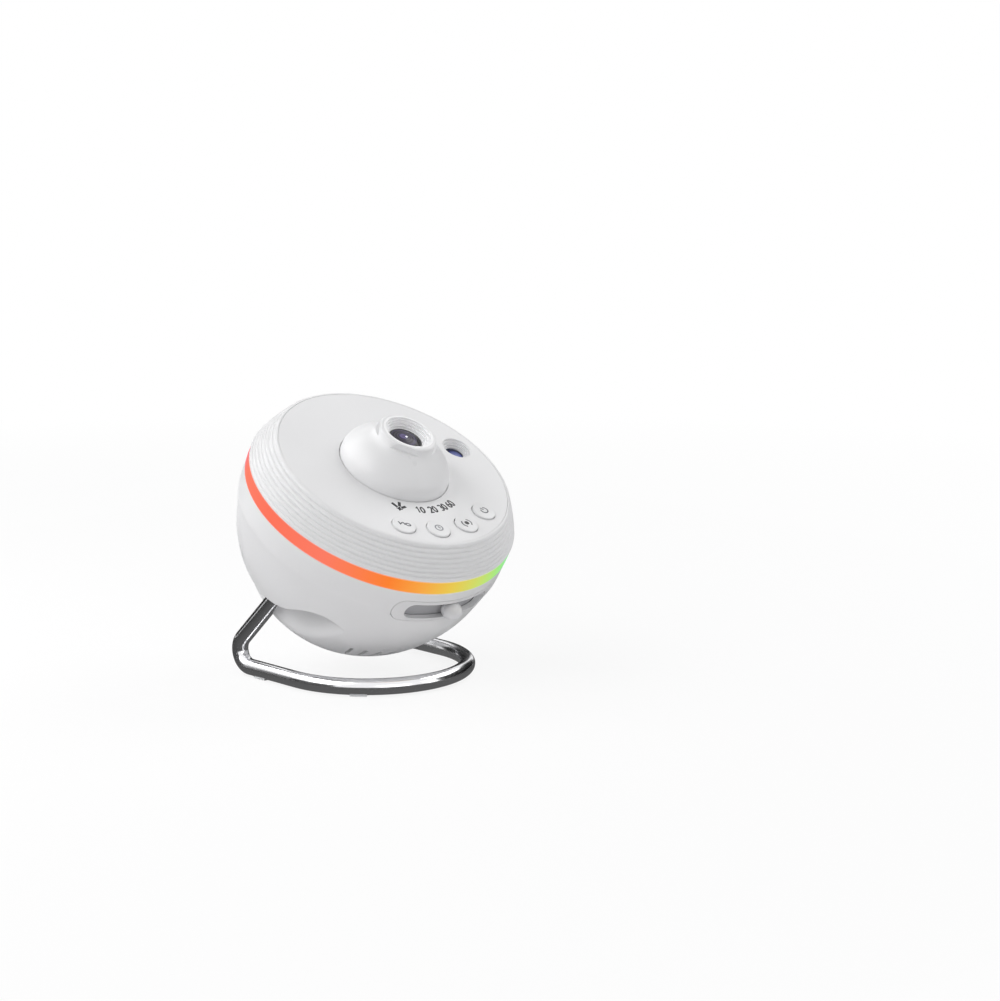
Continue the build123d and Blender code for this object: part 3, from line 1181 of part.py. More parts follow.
ball_nodes = {
    "lower_shell": lower_shell(), "bottom_cap": bottom_cap(), "cap_screws": cap_screws(),
    "slider_bezel": bezel(), "upper_shell": upper_shell(), "top_cover": top_cover(),
    "case_screws": case_screws(), "light_band": light_band(), "band_board": band_board(),
    "band_leds": band_leds(), "lens_dome": lens_dome(), "funnel_ring": funnel(),
    "front_lens": front_lens(), "rear_lens": rear_lens(), "lens_barrel": lens_barrel(),
    "focus_tube": focus_tube(), "focus_clip": focus_clip(), "focus_ring": focus_ring(),
    "focus_shutter": focus_shutter(), "focus_knob": focus_knob(), "film_disc": film_disc(),
    "disc_gear": disc_gear(), "motor_pinion": pinion(), "disc_motor": motor(),
    "gear_stage": gear_stage(), "stage_screws": stage_screws(), "lamp_housing": lamp_housing(),
    "condenser_lens": condenser(), "chassis_plate": chassis(), "chassis_screws": chassis_screws(),
    "lamp_board": lamp_board(), "lamp_screws": lamp_screws(), "lamp_emitter": emitter(),
    "heat_sink": heat_sink(), "meteor_lens": meteor_lens(), "meteor_tube": meteor_tube(),
    "meteor_lamp": meteor_lamp(), "main_board": main_board(), "board_screws": board_screws(),
    "tact_switches": switches(), "board_chips": board_chips(), "usb_board": usb_board(),
    "usb_socket": usb_socket(), "pivot_bushes": pivot_bushes(),
}
for name, azimuth in zip(BUTTON_NAMES, BUTTON_AZ):
    ball_nodes[name] = button(azimuth)

nodes = {name: placed(BALL_PLACE, shape) for name, shape in ball_nodes.items()}
nodes["stand_rod"] = stand()
nodes["foot_pads"] = foot_pads()
nodes["pivot_clips"] = pivot_clips()
nodes["pivot_washers"] = pivot_washers()

# The origin is the middle of the whole part's box, on the table.
box = group(nodes.values()).bounding_box()
MIDDLE_Y = (box.min.Y + box.max.Y) / 2

os.makedirs("parts", exist_ok=True)
for name, shape in nodes.items():
    export_step(placed(Pos(0, -MIDDLE_Y, 0), shape), f"parts/{name}.step")
print("pivot at y", -MIDDLE_Y, "z", PIVOT_H)
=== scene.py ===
"""Looks of the planetarium projector: finishes, printed marks, glowing band, studio and camera.

Metres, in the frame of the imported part. Directions round the ball are in degrees from its
front, positive towards +X, and heights run along the ball's tilted axis from its seam.
"""
import json
import math

import bpy
from mathutils import Matrix, Vector

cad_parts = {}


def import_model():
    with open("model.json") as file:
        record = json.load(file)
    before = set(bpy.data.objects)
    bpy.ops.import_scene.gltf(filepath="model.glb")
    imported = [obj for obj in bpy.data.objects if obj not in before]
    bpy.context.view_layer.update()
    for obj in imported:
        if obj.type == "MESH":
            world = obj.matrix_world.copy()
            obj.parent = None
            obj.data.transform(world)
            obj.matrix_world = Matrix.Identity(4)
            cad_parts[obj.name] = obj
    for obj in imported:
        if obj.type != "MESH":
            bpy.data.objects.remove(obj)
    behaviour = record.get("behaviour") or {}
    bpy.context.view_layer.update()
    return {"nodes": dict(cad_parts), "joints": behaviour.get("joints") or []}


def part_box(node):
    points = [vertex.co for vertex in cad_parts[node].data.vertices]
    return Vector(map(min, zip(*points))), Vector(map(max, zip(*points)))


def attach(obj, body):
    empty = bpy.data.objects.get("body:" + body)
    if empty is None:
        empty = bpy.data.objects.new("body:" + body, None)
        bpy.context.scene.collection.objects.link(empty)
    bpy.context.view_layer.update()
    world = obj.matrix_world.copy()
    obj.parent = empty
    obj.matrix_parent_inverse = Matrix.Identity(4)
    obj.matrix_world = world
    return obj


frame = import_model()

MM = 0.001

# ---- the ball's sizes, and its own frame as the part has it ------------------------
BAND_H = 7.1 * MM                 # light band, which starts at the seam
RIM_Z = 23.5 * MM                 # flat top cover above the seam
BUTTON_TOP = 24.4 * MM            # edge of a button's crown
BUTTON_CROWN = 0.35 * MM          # height of the crown
BUTTON_R = 5.35 * MM              # crowned part of a button
BUTTON_RING = 48.4 * MM           # circle of the buttons
BUTTON_STEP = 21.2                # degrees between neighbours
MARK_RING = 33.6 * MM             # circle of the printed marks
LENS_TOP = 41.5 * MM              # crown of the projection lens
EDGE_SOFT = 0.25 * MM             # how far light rounds the moulded edges

joints = {joint["name"]: joint for joint in frame["joints"]}
AXIS = Vector(joints["disc_spin"]["axis"]).normalized()
band_low, band_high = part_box("light_band")
SEAM = (band_low + band_high) / 2 - AXIS * BAND_H / 2
SIDE = Vector((1, 0, 0))
BACK = AXIS.cross(SIDE)
BALL = Matrix((
    (SIDE.x, BACK.x, AXIS.x, SEAM.x),
    (SIDE.y, BACK.y, AXIS.y, SEAM.y),
    (SIDE.z, BACK.z, AXIS.z, SEAM.z),
    (0, 0, 0, 1),
))


def on_ball(radius, azimuth, height):
    """Point in the part's frame from a radius, a direction and a height on the ball's axis."""
    turn = math.radians(azimuth)
    return BALL @ Vector((radius * math.sin(turn), -radius * math.cos(turn), height))


# ---- materials ---------------------------------------------------------------------
# Noise scales are in cycles per metre and grain depths in metres.
NOISE_LOW, NOISE_HIGH = 0.3, 0.7  # the part of a noise's range that its values fill
MIX_SHARE, MIX_FIRST, MIX_SECOND = 0, 6, 7   # sockets of a colour Mix node
MIX_COLOUR = 2


def linear(red, green, blue):
    """Linear colour from 0-255 display values, by the sRGB curve."""
    shares = [value / 255 for value in (red, green, blue)]
    return [s / 12.92 if s <= 0.04045 else ((s + 0.055) / 1.055) ** 2.4 for s in shares] + [1.0]


class Finish:
    """A Principled material with small helpers for its procedural detail.

    Shader sockets are given by name, with an underscore for each space.
    """

    def __init__(self, name, colour, roughness, **sockets):
        self.material = bpy.data.materials.new(name)
        self.material.use_nodes = True
        self.tree = self.material.node_tree
        self.nodes = self.tree.nodes
        self.shader = self.nodes["Principled BSDF"]
        self.colour = linear(*colour)
        self.shader.inputs["Base Color"].default_value = self.colour
        self.shader.inputs["Roughness"].default_value = roughness
        for socket, value in sockets.items():
            self.shader.inputs[socket.replace("_", " ")].default_value = value

    def link(self, source, target):
        self.tree.links.new(source, target)

    def fill(self, socket, value):
        """Link an output to a socket, or set the socket's constant."""
        if isinstance(value, bpy.types.NodeSocket):
            self.link(value, socket)
        else:
            socket.default_value = value

    def node(self, kind, **values):
        """New node with its settings; its sockets keep their defaults."""
        made = self.nodes.new(kind)
        for name, value in values.items():
            setattr(made, name, value)
        return made

    def place(self):
        """The surface point in the object's own coordinates."""
        return self.node("ShaderNodeTexCoord").outputs["Object"]

    def length(self, vector):
        """Length of a vector output."""
        node = self.node("ShaderNodeVectorMath", operation="LENGTH")
        self.link(vector, node.inputs[0])
        return node.outputs["Value"]

    def maths(self, operation, first, second=None):
        """Result of a Math node on an output and, where it takes two, an output or number."""
        node = self.node("ShaderNodeMath", operation=operation)
        self.link(first, node.inputs[0])
        if second is not None:
            self.fill(node.inputs[1], second)
        return node.outputs[0]

    def span(self, value, from_min, from_max, to_min=0.0, to_max=1.0):
        """A value carried from one range to another and kept inside it."""
        node = self.node("ShaderNodeMapRange")
        node.inputs["From Min"].default_value = from_min
        node.inputs["From Max"].default_value = from_max
        node.inputs["To Min"].default_value = to_min
        node.inputs["To Max"].default_value = to_max
        self.link(value, node.inputs["Value"])
        return node.outputs["Result"]

    def blend(self, share, first, second):
        """Colour between two, each an output or a constant; share 0 gives the first."""
        node = self.node("ShaderNodeMix", data_type="RGBA")
        self.link(share, node.inputs[MIX_SHARE])
        self.fill(node.inputs[MIX_FIRST], first)
        self.fill(node.inputs[MIX_SECOND], second)
        return node.outputs[MIX_COLOUR]

    def ramp(self, value, stops):
        """Colour by a value, through stops of (value, display colour)."""
        node = self.node("ShaderNodeValToRGB")
        elements = node.color_ramp.elements   # two of them are there from the start
        for i, (where, colour) in enumerate(stops):
            point = elements[i] if i < 2 else elements.new(where)
            point.position = where
            point.color = linear(*colour)
        self.link(value, node.inputs["Fac"])
        return node.outputs["Color"]

    def noise(self, per_metre, detail=2.0, stretch=None):
        """Noise in the object's own coordinates; stretch squeezes it along the three axes."""
        texture = self.node("ShaderNodeTexNoise")
        texture.inputs["Scale"].default_value = per_metre
        texture.inputs["Detail"].default_value = detail
        where = self.place()
        if stretch:
            mapping = self.node("ShaderNodeMapping")
            mapping.inputs["Scale"].default_value = stretch
            self.link(where, mapping.inputs["Vector"])
            where = mapping.outputs["Vector"]
        self.link(where, texture.inputs["Vector"])
        return texture.outputs["Fac"]

    def drift(self, per_metre, low=0.0, high=1.0, detail=2.0):
        """Noise that fills the range between two values."""
        return self.span(self.noise(per_metre, detail), NOISE_LOW, NOISE_HIGH, low, high)

    def grain(self, per_metre, depth, stretch=None):
        """Fine moulded or brushed surface."""
        bump = self.node("ShaderNodeBump")
        bump.inputs["Distance"].default_value = depth
        bump.inputs["Strength"].default_value = 1.0
        edge = self.node("ShaderNodeBevel", samples=6)
        edge.inputs["Radius"].default_value = EDGE_SOFT
        self.link(edge.outputs["Normal"], bump.inputs["Normal"])
        self.link(self.noise(per_metre, stretch=stretch), bump.inputs["Height"])
        self.link(bump.outputs["Normal"], self.shader.inputs["Normal"])
        return self

    def worn(self, per_metre, low, high):
        """Roughness that varies slowly between two values."""
        self.link(self.drift(per_metre, low, high), self.shader.inputs["Roughness"])
        return self

    def mottled(self, per_metre, other):
        """Base colour that drifts towards another one."""
        drifting = self.blend(self.drift(per_metre), self.colour, linear(*other))
        self.link(drifting, self.shader.inputs["Base Color"])
        return self

    def glow(self, colour, strength=1.0):
        """Emission in a constant colour or in an output's."""
        self.fill(self.shader.inputs["Emission Color"], colour)
        self.shader.inputs["Emission Strength"].default_value = strength
        return self


def in_ball_frame(finish):
    """The surface point in the ball's frame, for patterns that follow the ball."""
    mapping = finish.node("ShaderNodeMapping", vector_type="TEXTURE")
    mapping.inputs["Location"].default_value = SEAM
    mapping.inputs["Rotation"].default_value = BALL.to_euler()
    finish.link(finish.place(), mapping.inputs["Vector"])
    return mapping.outputs["Vector"]


def moulded(name, colour, roughness=0.42):
    """Satin white plastic with a very fine moulded grain."""
    finish = Finish(name, colour, roughness, Specular_IOR_Level=0.4)
    finish.mottled(per_metre=14, other=[value - 5 for value in colour])
    finish.worn(per_metre=60, low=roughness - 0.05, high=roughness + 0.06)
    finish.grain(per_metre=2600, depth=0.000012)
    return finish.material


def radial_ramp(finish, centre, radius, stops):
    """Colour by the distance from a point, in shares of the radius."""
    mapping = finish.node("ShaderNodeMapping")
    mapping.inputs["Location"].default_value = [-value for value in centre]
    finish.link(finish.place(), mapping.inputs["Vector"])
    share = finish.maths("DIVIDE", finish.length(mapping.outputs["Vector"]), radius)
    return finish.ramp(share, stops)


BAND_COLOURS = (                  # direction round the ball and colour there
    (-180, (214, 120, 250)),
    (-150, (246, 120, 170)),
    (-120, (255, 122, 96)),
    (-90, (255, 112, 84)),
    (-62, (255, 122, 96)),
    (-50, (255, 124, 78)),
    (-34, (255, 128, 38)),
    (-20, (250, 166, 62)),
    (-5, (234, 204, 76)),
    (9, (206, 224, 106)),
    (25, (160, 238, 134)),
    (50, (112, 236, 196)),
    (85, (104, 196, 255)),
    (125, (116, 130, 255)),
    (155, (160, 116, 255)),
)
BAND_GLOW = 0.96                  # strength of the band's light
BAND_EDGE = 0.55 * MM             # pale edges of the diffuser
BAND_EDGE_SHARE = 0.35            # how far they go towards their own colour
BAND_EDGE_COLOUR = (250, 245, 240)


def band_material():
    """Frosted diffuser lit from inside, with a rainbow that runs round the ball."""
    finish = Finish("band_glow", (40, 34, 32), 0.55, Specular_IOR_Level=0.15)
    place = in_ball_frame(finish)
    gradient = finish.node("ShaderNodeTexGradient", gradient_type="RADIAL")
    finish.link(place, gradient.inputs["Vector"])
    # The gradient runs anticlockwise from -X, so its two ends meet at -90 degrees.
    stops = sorted((((azimuth + 90) / 360) % 1.0, colour) for azimuth, colour in BAND_COLOURS)
    stops.append((1.0, stops[0][1]))
    rainbow = finish.ramp(gradient.outputs["Fac"], stops)
    split = finish.node("ShaderNodeSeparateXYZ")
    finish.link(place, split.inputs["Vector"])
    half = BAND_H / 2
    away = finish.maths("ABSOLUTE", finish.maths("SUBTRACT", split.outputs["Z"], half))
    edge = finish.span(away, half - BAND_EDGE, half, to_max=BAND_EDGE_SHARE)
    finish.glow(finish.blend(edge, rainbow, linear(*BAND_EDGE_COLOUR)), BAND_GLOW)
    return finish.material


# Where each coated lens is palest, as a painted highlight, how far its tint runs into painted
# shade, and its rings from there outwards, darkening to painted shade at the rim.
LENS_PAINTED_HIGHLIGHT, LENS_PAINTED_FADE_R = (1.6 * MM, -120, LENS_TOP), 9.0 * MM
LENS_RINGS_AND_PAINTED_LIGHT = (
    (0.0, (90, 84, 104)),
    (0.14, (106, 96, 142)),
    (0.26, (64, 61, 72)),
    (0.32, (84, 80, 92)),
    (0.4, (60, 57, 67)),
    (0.47, (82, 78, 88)),
    (0.55, (59, 56, 65)),
    (0.62, (80, 76, 88)),
    (0.7, (76, 70, 98)),
    (0.8, (44, 42, 50)),
    (0.86, (12, 11, 14)),
)
# Painted light on the meteor lens: over its blue, a painted highlight at one point that darkens
# into painted shade across the face.
METEOR_PAINTED_HIGHLIGHT, METEOR_PAINTED_FADE_R = (45.4 * MM, 94.5, 20.2 * MM), 6.4 * MM
METEOR_BLUE_AND_PAINTED_LIGHT = (
    (0.0, (112, 124, 186)),
    (0.4, (94, 102, 160)),
    (0.66, (76, 84, 138)),
    (0.8, (22, 30, 74)),
    (1.0, (14, 20, 56)),
)


def lens_material(name, centre, radius, stops):
    """Coated glass over a dark barrel; tint from a painted highlight at a point to painted
    shade.
    """
    finish = Finish(name, stops[0][1], 0.08, Specular_IOR_Level=0.12)
    colour = radial_ramp(finish, centre, radius, stops)
    finish.link(colour, finish.shader.inputs["Base Color"])
    finish.worn(per_metre=300, low=0.06, high=0.1)
    return finish.material


def chrome_material():
    """Polished wire that mirrors the studio a little softly."""
    finish = Finish("rod_chrome", (240, 240, 242), 0.16, Metallic=1.0)
    finish.worn(per_metre=40, low=0.13, high=0.2).grain(per_metre=900, depth=0.000003)
    return finish.material


def metal(name, colour, roughness, stretch=None):
    """Bare metal; stretch draws its grain out into brush lines."""
    finish = Finish(name, colour, roughness, Metallic=1.0)
    finish.worn(per_metre=90, low=roughness - 0.06, high=roughness + 0.1)
    finish.grain(per_metre=1500, depth=0.00002, stretch=stretch)
    return finish.material


def plain(name, colour, roughness, grain=1800, depth=0.00002):
    """Uneven matt or satin surface: coloured plastic, rubber, board or ink."""
    finish = Finish(name, colour, roughness)
    finish.mottled(per_metre=120, other=[min(255, value + 10) for value in colour])
    finish.worn(per_metre=150, low=roughness - 0.06, high=roughness + 0.08)
    finish.grain(per_metre=grain, depth=depth)
    return finish.material


def clear_material(name, colour):
    """Uncoated glass for the lenses inside."""
    finish = Finish(name, colour, 0.03, IOR=1.5, Transmission_Weight=1.0)
    finish.worn(per_metre=200, low=0.02, high=0.06)
    return finish.material


STARS_PER_METRE = 900
STAR_FADE = 0.18                  # a star's edge and its full white, in cells from its middle
STAR_FULL = 0.05


def film_material():
    """Picture disc: a dark night sky with stars and a soft galaxy."""
    finish = Finish("film_picture", (16, 14, 40), 0.2)
    stars = finish.node("ShaderNodeTexVoronoi", feature="F1")
    stars.inputs["Scale"].default_value = STARS_PER_METRE
    finish.link(finish.place(), stars.inputs["Vector"])
    dots = finish.span(stars.outputs["Distance"], STAR_FADE, STAR_FULL)
    cloud = finish.drift(per_metre=180, detail=6.0)
    sky = finish.blend(cloud, linear(12, 12, 34), linear(80, 60, 150))
    picture = finish.blend(dots, sky, linear(240, 244, 255))
    finish.link(picture, finish.shader.inputs["Base Color"])
    return finish.material


shell_white = moulded("shell_white", (228, 228, 229))
cover_white = moulded("cover_white", (229, 229, 230), 0.38)
dome_white = moulded("dome_white", (230, 230, 231), 0.32)
button_white = moulded("button_white", (229, 229, 230), 0.34)
bezel_white = moulded("bezel_white", (224, 224, 225), 0.4)
knob_white = moulded("knob_white", (222, 222, 224), 0.42)
# Painted shade: a darker copy of the white plastic for the shutter, which lies in the recess's
# shadow.
shutter_painted_shade = moulded("shutter_painted_shade", (168, 168, 171), 0.5)
# Painted light: a brighter copy of the white plastic, so that the funnel's shaded inside looks
# lit.
funnel_painted_light = moulded("funnel_painted_light", (248, 248, 249), 0.3)
band_glow = band_material()
front_glass = lens_material("front_glass", on_ball(*LENS_PAINTED_HIGHLIGHT), LENS_PAINTED_FADE_R, LENS_RINGS_AND_PAINTED_LIGHT)
meteor_glass = lens_material("meteor_glass", on_ball(*METEOR_PAINTED_HIGHLIGHT), METEOR_PAINTED_FADE_R, METEOR_BLUE_AND_PAINTED_LIGHT)
inner_glass = clear_material("inner_glass", (230, 238, 240))
film_picture = film_material()
rod_chrome = chrome_material()
foot_rubber = plain("foot_rubber", (232, 233, 234), 0.5, grain=1200)
spring_steel = metal("spring_steel", (150, 152, 156), 0.35)
screw_steel = metal("screw_steel", (158, 160, 164), 0.3)
sheet_steel = metal("sheet_steel", (168, 170, 174), 0.4, stretch=(1, 14, 1))
sink_aluminium = metal("sink_aluminium", (196, 198, 202), 0.38, stretch=(1, 10, 1))
motor_steel = metal("motor_steel", (182, 183, 186), 0.3)
socket_steel = metal("socket_steel", (178, 180, 184), 0.28)
black_plastic = plain("black_plastic", (24, 24, 27), 0.45)
chip_black = plain("chip_black", (26, 26, 30), 0.5)
board_green = plain("board_green", (18, 84, 48), 0.35, grain=700, depth=0.00003)
board_white = plain("board_white", (222, 222, 216), 0.4)
gear_nylon = plain("gear_nylon", (222, 219, 206), 0.42)
bush_plastic = plain("bush_plastic", (214, 213, 208), 0.45)
led_yellow = plain("led_yellow", (240, 226, 140), 0.25)
print_dark = plain("print_dark", (34, 34, 38), 0.5)
print_grey = plain("print_grey", (84, 85, 90), 0.5)
print_faint = plain("print_faint", (138, 139, 144), 0.5)

LOOKS = {
    shell_white: ("lower_shell", "bottom_cap", "upper_shell"),
    cover_white: ("top_cover",),
    funnel_painted_light: ("funnel_ring",),
    dome_white: ("lens_dome",),
    bezel_white: ("slider_bezel",),
    shutter_painted_shade: ("focus_shutter",),
    knob_white: ("focus_knob",),
    button_white: ("meteor_button", "timer_button", "light_button", "power_button"),
    band_glow: ("light_band",),
    front_glass: ("front_lens",),
    meteor_glass: ("meteor_lens",),
    inner_glass: ("rear_lens", "condenser_lens"),
    film_picture: ("film_disc",),
    rod_chrome: ("stand_rod",),
    foot_rubber: ("foot_pads",),
    spring_steel: ("focus_clip", "pivot_clips", "pivot_washers"),
    screw_steel: ("cap_screws", "case_screws", "stage_screws", "chassis_screws", "lamp_screws",
                  "board_screws"),
    sheet_steel: ("chassis_plate",),
    sink_aluminium: ("heat_sink",),
    motor_steel: ("disc_motor", "meteor_lamp"),
    socket_steel: ("usb_socket",),
    black_plastic: ("lens_barrel", "focus_tube", "focus_ring", "gear_stage", "lamp_housing",
                    "meteor_tube"),
    chip_black: ("tact_switches", "board_chips"),
    board_green: ("main_board", "usb_board"),
    board_white: ("band_board", "lamp_board"),
    gear_nylon: ("disc_gear", "motor_pinion"),
    bush_plastic: ("pivot_bushes",),
    led_yellow: ("band_leds", "lamp_emitter"),
}


def dress(node, material):
    """Give an object one material in place of any that it has."""
    node.data.materials.clear()
    node.data.materials.append(material)


for look, names in LOOKS.items():
    for name in names:
        dress(frame["nodes"][name], look)

SMOOTH_ANGLE = math.radians(32)
for node in frame["nodes"].values():
    node.data.shade_smooth()
    node.data.set_sharp_from_angle(angle=SMOOTH_ANGLE)


# ---- thin printed marks ------------------------------------------------------------
LIFT = 0.03 * MM                  # printed film above the surface
ROOT = 0.08 * MM                  # how deep a mark reaches into its carrier


def slab(name, loops, material, body, place):
    """Thin closed slabs over flat outlines; place maps (x, y, lift) to a point."""
    verts, faces = [], []
    for loop in loops:
        start, count = len(verts), len(loop)
        verts += [place(x, y, LIFT) for x, y in loop]
        verts += [place(x, y, -ROOT) for x, y in loop]
        faces.append([start + i for i in range(count)])
        faces.append([start + count + i for i in reversed(range(count))])
        for i in range(count):
            j = (i + 1) % count
            faces.append([start + i, start + count + i, start + count + j, start + j])
    mesh = bpy.data.meshes.new(name)
    mesh.from_pydata(verts, [], faces)
    mesh.update()
    piece = bpy.data.objects.new(name, mesh)
    bpy.context.scene.collection.objects.link(piece)
    dress(piece, material)
    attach(piece, body)


def arc(radius, start, end, steps=20):
    """Points on an arc, in degrees anticlockwise from +x."""
    turns = [math.radians(start + (end - start) * i / steps) for i in range(steps + 1)]
    return [(radius * math.cos(turn), radius * math.sin(turn)) for turn in turns]


MITRE_LIMIT = 0.5                 # least cosine that a corner is mitred by
CLOSED_SHARE = 0.1                # ends nearer than this share of the width are joined


def strokes(lines, width):
    """Quads along each line, mitred where they meet, so that no two overlap."""
    loops = []
    for line in lines:
        points = [Vector(spot) for spot in line]
        steps = [(after - before).normalized() for before, after in zip(points, points[1:])]
        closed = (points[0] - points[-1]).length < width * CLOSED_SHARE
        sides = []
        for i, point in enumerate(points):
            before = steps[max(i - 1, 0)]
            after = steps[min(i, len(steps) - 1)]
            if closed and i in (0, len(steps)):
                before, after = steps[-1], steps[0]
            along = (before + after).normalized()
            out = Vector((-along.y, along.x)) * (width / 2 / max(along.dot(after), MITRE_LIMIT))
            sides.append((point + out, point - out))
        for (left, right), (left_next, right_next) in zip(sides, sides[1:]):
            loops.append([tuple(left), tuple(right), tuple(right_next), tuple(left_next)])
    return loops


def flat_at(radius, azimuth, height):
    """Placer for marks that lie flat on the ball's top, upright as seen from the front."""
    turn = math.radians(azimuth)

    def place(x, y, lift):
        out = radius - y
        across = Vector((math.cos(turn), math.sin(turn), 0)) * x
        middle = Vector((out * math.sin(turn), -out * math.cos(turn), height + lift))
        return BALL @ (across + middle)
    return place


def crowned_at(radius, azimuth):
    """The same on a button's crowned top."""
    flat = flat_at(radius, azimuth, 0.0)

    def place(x, y, lift):
        fall = BUTTON_CROWN * (1 - (x * x + y * y) / BUTTON_R ** 2)
        return flat(x, y, BUTTON_TOP + fall + lift)
    return place


def scaled(lines):
    """Lines drawn in millimetres, in metres."""
    return [[(x * MM, y * MM) for x, y in line] for line in lines]


def oval(wide, high, start, end, centre=(0.0, 0.0), steps=18):
    """Points on an upright oval, in degrees anticlockwise from +x."""
    circle = arc(1.0, start, end, steps)
    return [(centre[0] + x * wide, centre[1] + y * high) for x, y in circle]


# Icons and digits are drawn in millimetres about their own middle.
WAVE_ICON = [
    [(-3.1, 1.0), (-2.2, -0.8), (-1.2, 0.6), (-0.5, 0.6), (0.1, -0.7)],
    oval(1.25, 0.85, 0, 360, (1.7, 0.0)),
]
TIMER_ICON = [arc(1.9, 0, 360, steps=24), [(0, 1.1), (0, 0), (0.9, -0.4)]]
LIGHT_ICON = [arc(2.6, 125, 235), arc(2.6, -55, 55)]
POWER_ICON = [arc(1.9, 125, 415, steps=22), [(0, 2.4), (0, 0.3)]]
DOT = [arc(1.25, 0, 345, steps=23)]          # an outline and not a line
DIGITS = {
    "0": [oval(0.85, 2.0, 90, 450, steps=22)],
    "1": [[(-0.6, 1.2), (0.2, 2.0), (0.2, -2.0)]],
    "2": [oval(0.85, 1.0, 165, -35, (0, 1.0), 10) + [(-0.85, -2.0), (0.95, -2.0)]],
    "3": [oval(0.8, 0.95, 150, -90, (0, 1.05), 12), oval(0.9, 1.05, 90, -150, (0, -0.95), 12)],
    "6": [oval(0.85, 1.1, 90, 450, (0, -0.9)), [(-0.85, -0.9), (-0.5, 0.9), (0.5, 2.0)]],
}
DIGIT_STEP = 2.5                  # from one digit to the next


def number(text):
    """Lines of a number, centred on its middle."""
    lines = []
    for i, digit in enumerate(text):
        shift = DIGIT_STEP * (i - (len(text) - 1) / 2)
        lines += [[(x + shift, y) for x, y in line] for line in DIGITS[digit]]
    return lines


ICONS = (
    ("meteor_button", WAVE_ICON, print_grey),
    ("timer_button", TIMER_ICON, print_faint),
    ("light_button", LIGHT_ICON, print_grey),
    ("power_button", POWER_ICON, print_grey),
)
ICON_LINE = 0.68 * MM
for i, (name, icon, ink) in enumerate(ICONS):
    spot = crowned_at(BUTTON_RING, BUTTON_STEP * (i - (len(ICONS) - 1) / 2))
    slab(name + "_icon", strokes(scaled(icon), ICON_LINE), ink, name + "_cap",
         spot)
    if name == "light_button":
        slab("light_button_dot", scaled(DOT), print_dark, "light_button_cap",
             spot)


def star_outline(points, outer, inner):
    """Outline of a star round its middle."""
    spots = []
    for i in range(2 * points):
        radius = outer if i % 2 == 0 else inner
        turn = math.radians(90 + 180 / points * i)
        spots.append((radius * math.cos(turn), radius * math.sin(turn)))
    return spots


STAR_MARK = [star_outline(points=4, outer=1.9 * MM, inner=0.9 * MM)]
STAR_TRAIL = [[(-1.0, 1.0), (-3.7, 3.4)], [(0.1, 1.9), (0.2, 5.4)], [(1.0, 1.0), (3.3, 2.9)]]
STAR_RING, STAR_AZIMUTH = 35.0 * MM, -33.0
TRAIL_LINE = 1.5 * MM
MARKS = ((-14.5, "10"), (-2.2, "20"), (9.0, "30"), (19.2, "60"))   # direction and number
MARK_LINE = 0.85 * MM
for azimuth, text in MARKS:
    spot = flat_at(MARK_RING, azimuth, RIM_Z)
    slab("mark_" + text, strokes(scaled(number(text)), MARK_LINE), print_dark, "ball",
         spot)
slab("mark_star", STAR_MARK + strokes(scaled(STAR_TRAIL), TRAIL_LINE), print_dark, "ball",
     flat_at(STAR_RING, STAR_AZIMUTH, RIM_Z))


# ---- light seen in the lens --------------------------------------------------------
GLINT_R = 0.5 * MM
GLINT_T = 0.2 * MM
GLINT_SUNK = 0.06 * MM            # its middle below the lens's crown
GLINT_COLOUR = (250, 250, 255)


def round_disc(name, radius, thick, centre, material, body):
    """Disc square to the ball's axis, with its mesh in the part's frame."""
    bpy.ops.mesh.primitive_cylinder_add(vertices=32, radius=radius, depth=thick)
    disc = bpy.context.object
    disc.name = name
    disc.matrix_world = Matrix.Translation(centre) @ BALL.to_3x3().to_4x4()
    bpy.context.view_layer.update()
    disc.data.transform(disc.matrix_world)
    disc.matrix_world = Matrix.Identity(4)
    dress(disc, material)
    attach(disc, body)


# Painted glint: a small glowing disc on the lens's crown stands for the bright spot seen in the
# lens.
glint = Finish("lens_glint", GLINT_COLOUR, 0.2)
glint.glow(linear(*GLINT_COLOUR)).grain(per_metre=2000, depth=0.00001)
round_disc("lens_glint", GLINT_R, GLINT_T, on_ball(0, 0, LENS_TOP - GLINT_SUNK),
           glint.material, "lens")


# ---- studio ------------------------------------------------------------------------
CENTRE = (0.0, 0.0, 0.06)         # lamps and flags turn to this point of the object
WORLD_LIGHT = 0.3                 # strength of the world on what isn't seen directly
FLOOR_SIZE = 60
FLOOR_NEAR = 0.25                 # between these distances the floor turns white to the camera
FLOOR_FAR = 0.9
FLOOR_WHITE = 0.86                # how white it already is near the object
LAMPS = (                         # name, place, side of its square and power in watts
    ("left_lamp", (-0.85, 0.1, 0.8), 0.7, 5.6),
    ("right_lamp", (0.8, -0.2, 0.8), 0.7, 4.4),
    ("back_lamp", (-0.25, 0.4, 0.5), 0.4, 1.7),
    ("low_lamp", (-0.3, -1.05, 0.2), 0.7, 1.3),
    ("side_lamp", (0.65, -0.85, 0.25), 0.7, 1.8),
)
FLAGS = (                         # name, place, width and height, grey, and lying flat or not
    ("flag_floor", (0.0, 0.0, 0.0001), (0.9, 0.9), 70, True),
    ("flag_right", (0.75, -0.2, 0.14), (1.3, 0.7), 16, False),
    ("flag_back", (0.2, 0.8, 0.14), (1.5, 0.62), 38, False),
    ("flag_left", (-0.8, 0.3, 0.1), (1.0, 0.4), 70, False),
)
FLAG_FADE = ((0.0, 1.5), (0.25, 1.1), (0.6, 0.8), (1.0, 1.0))   # its grey, middle outwards
FLAG_FADE_R = 0.5                 # half the side of an unscaled flag


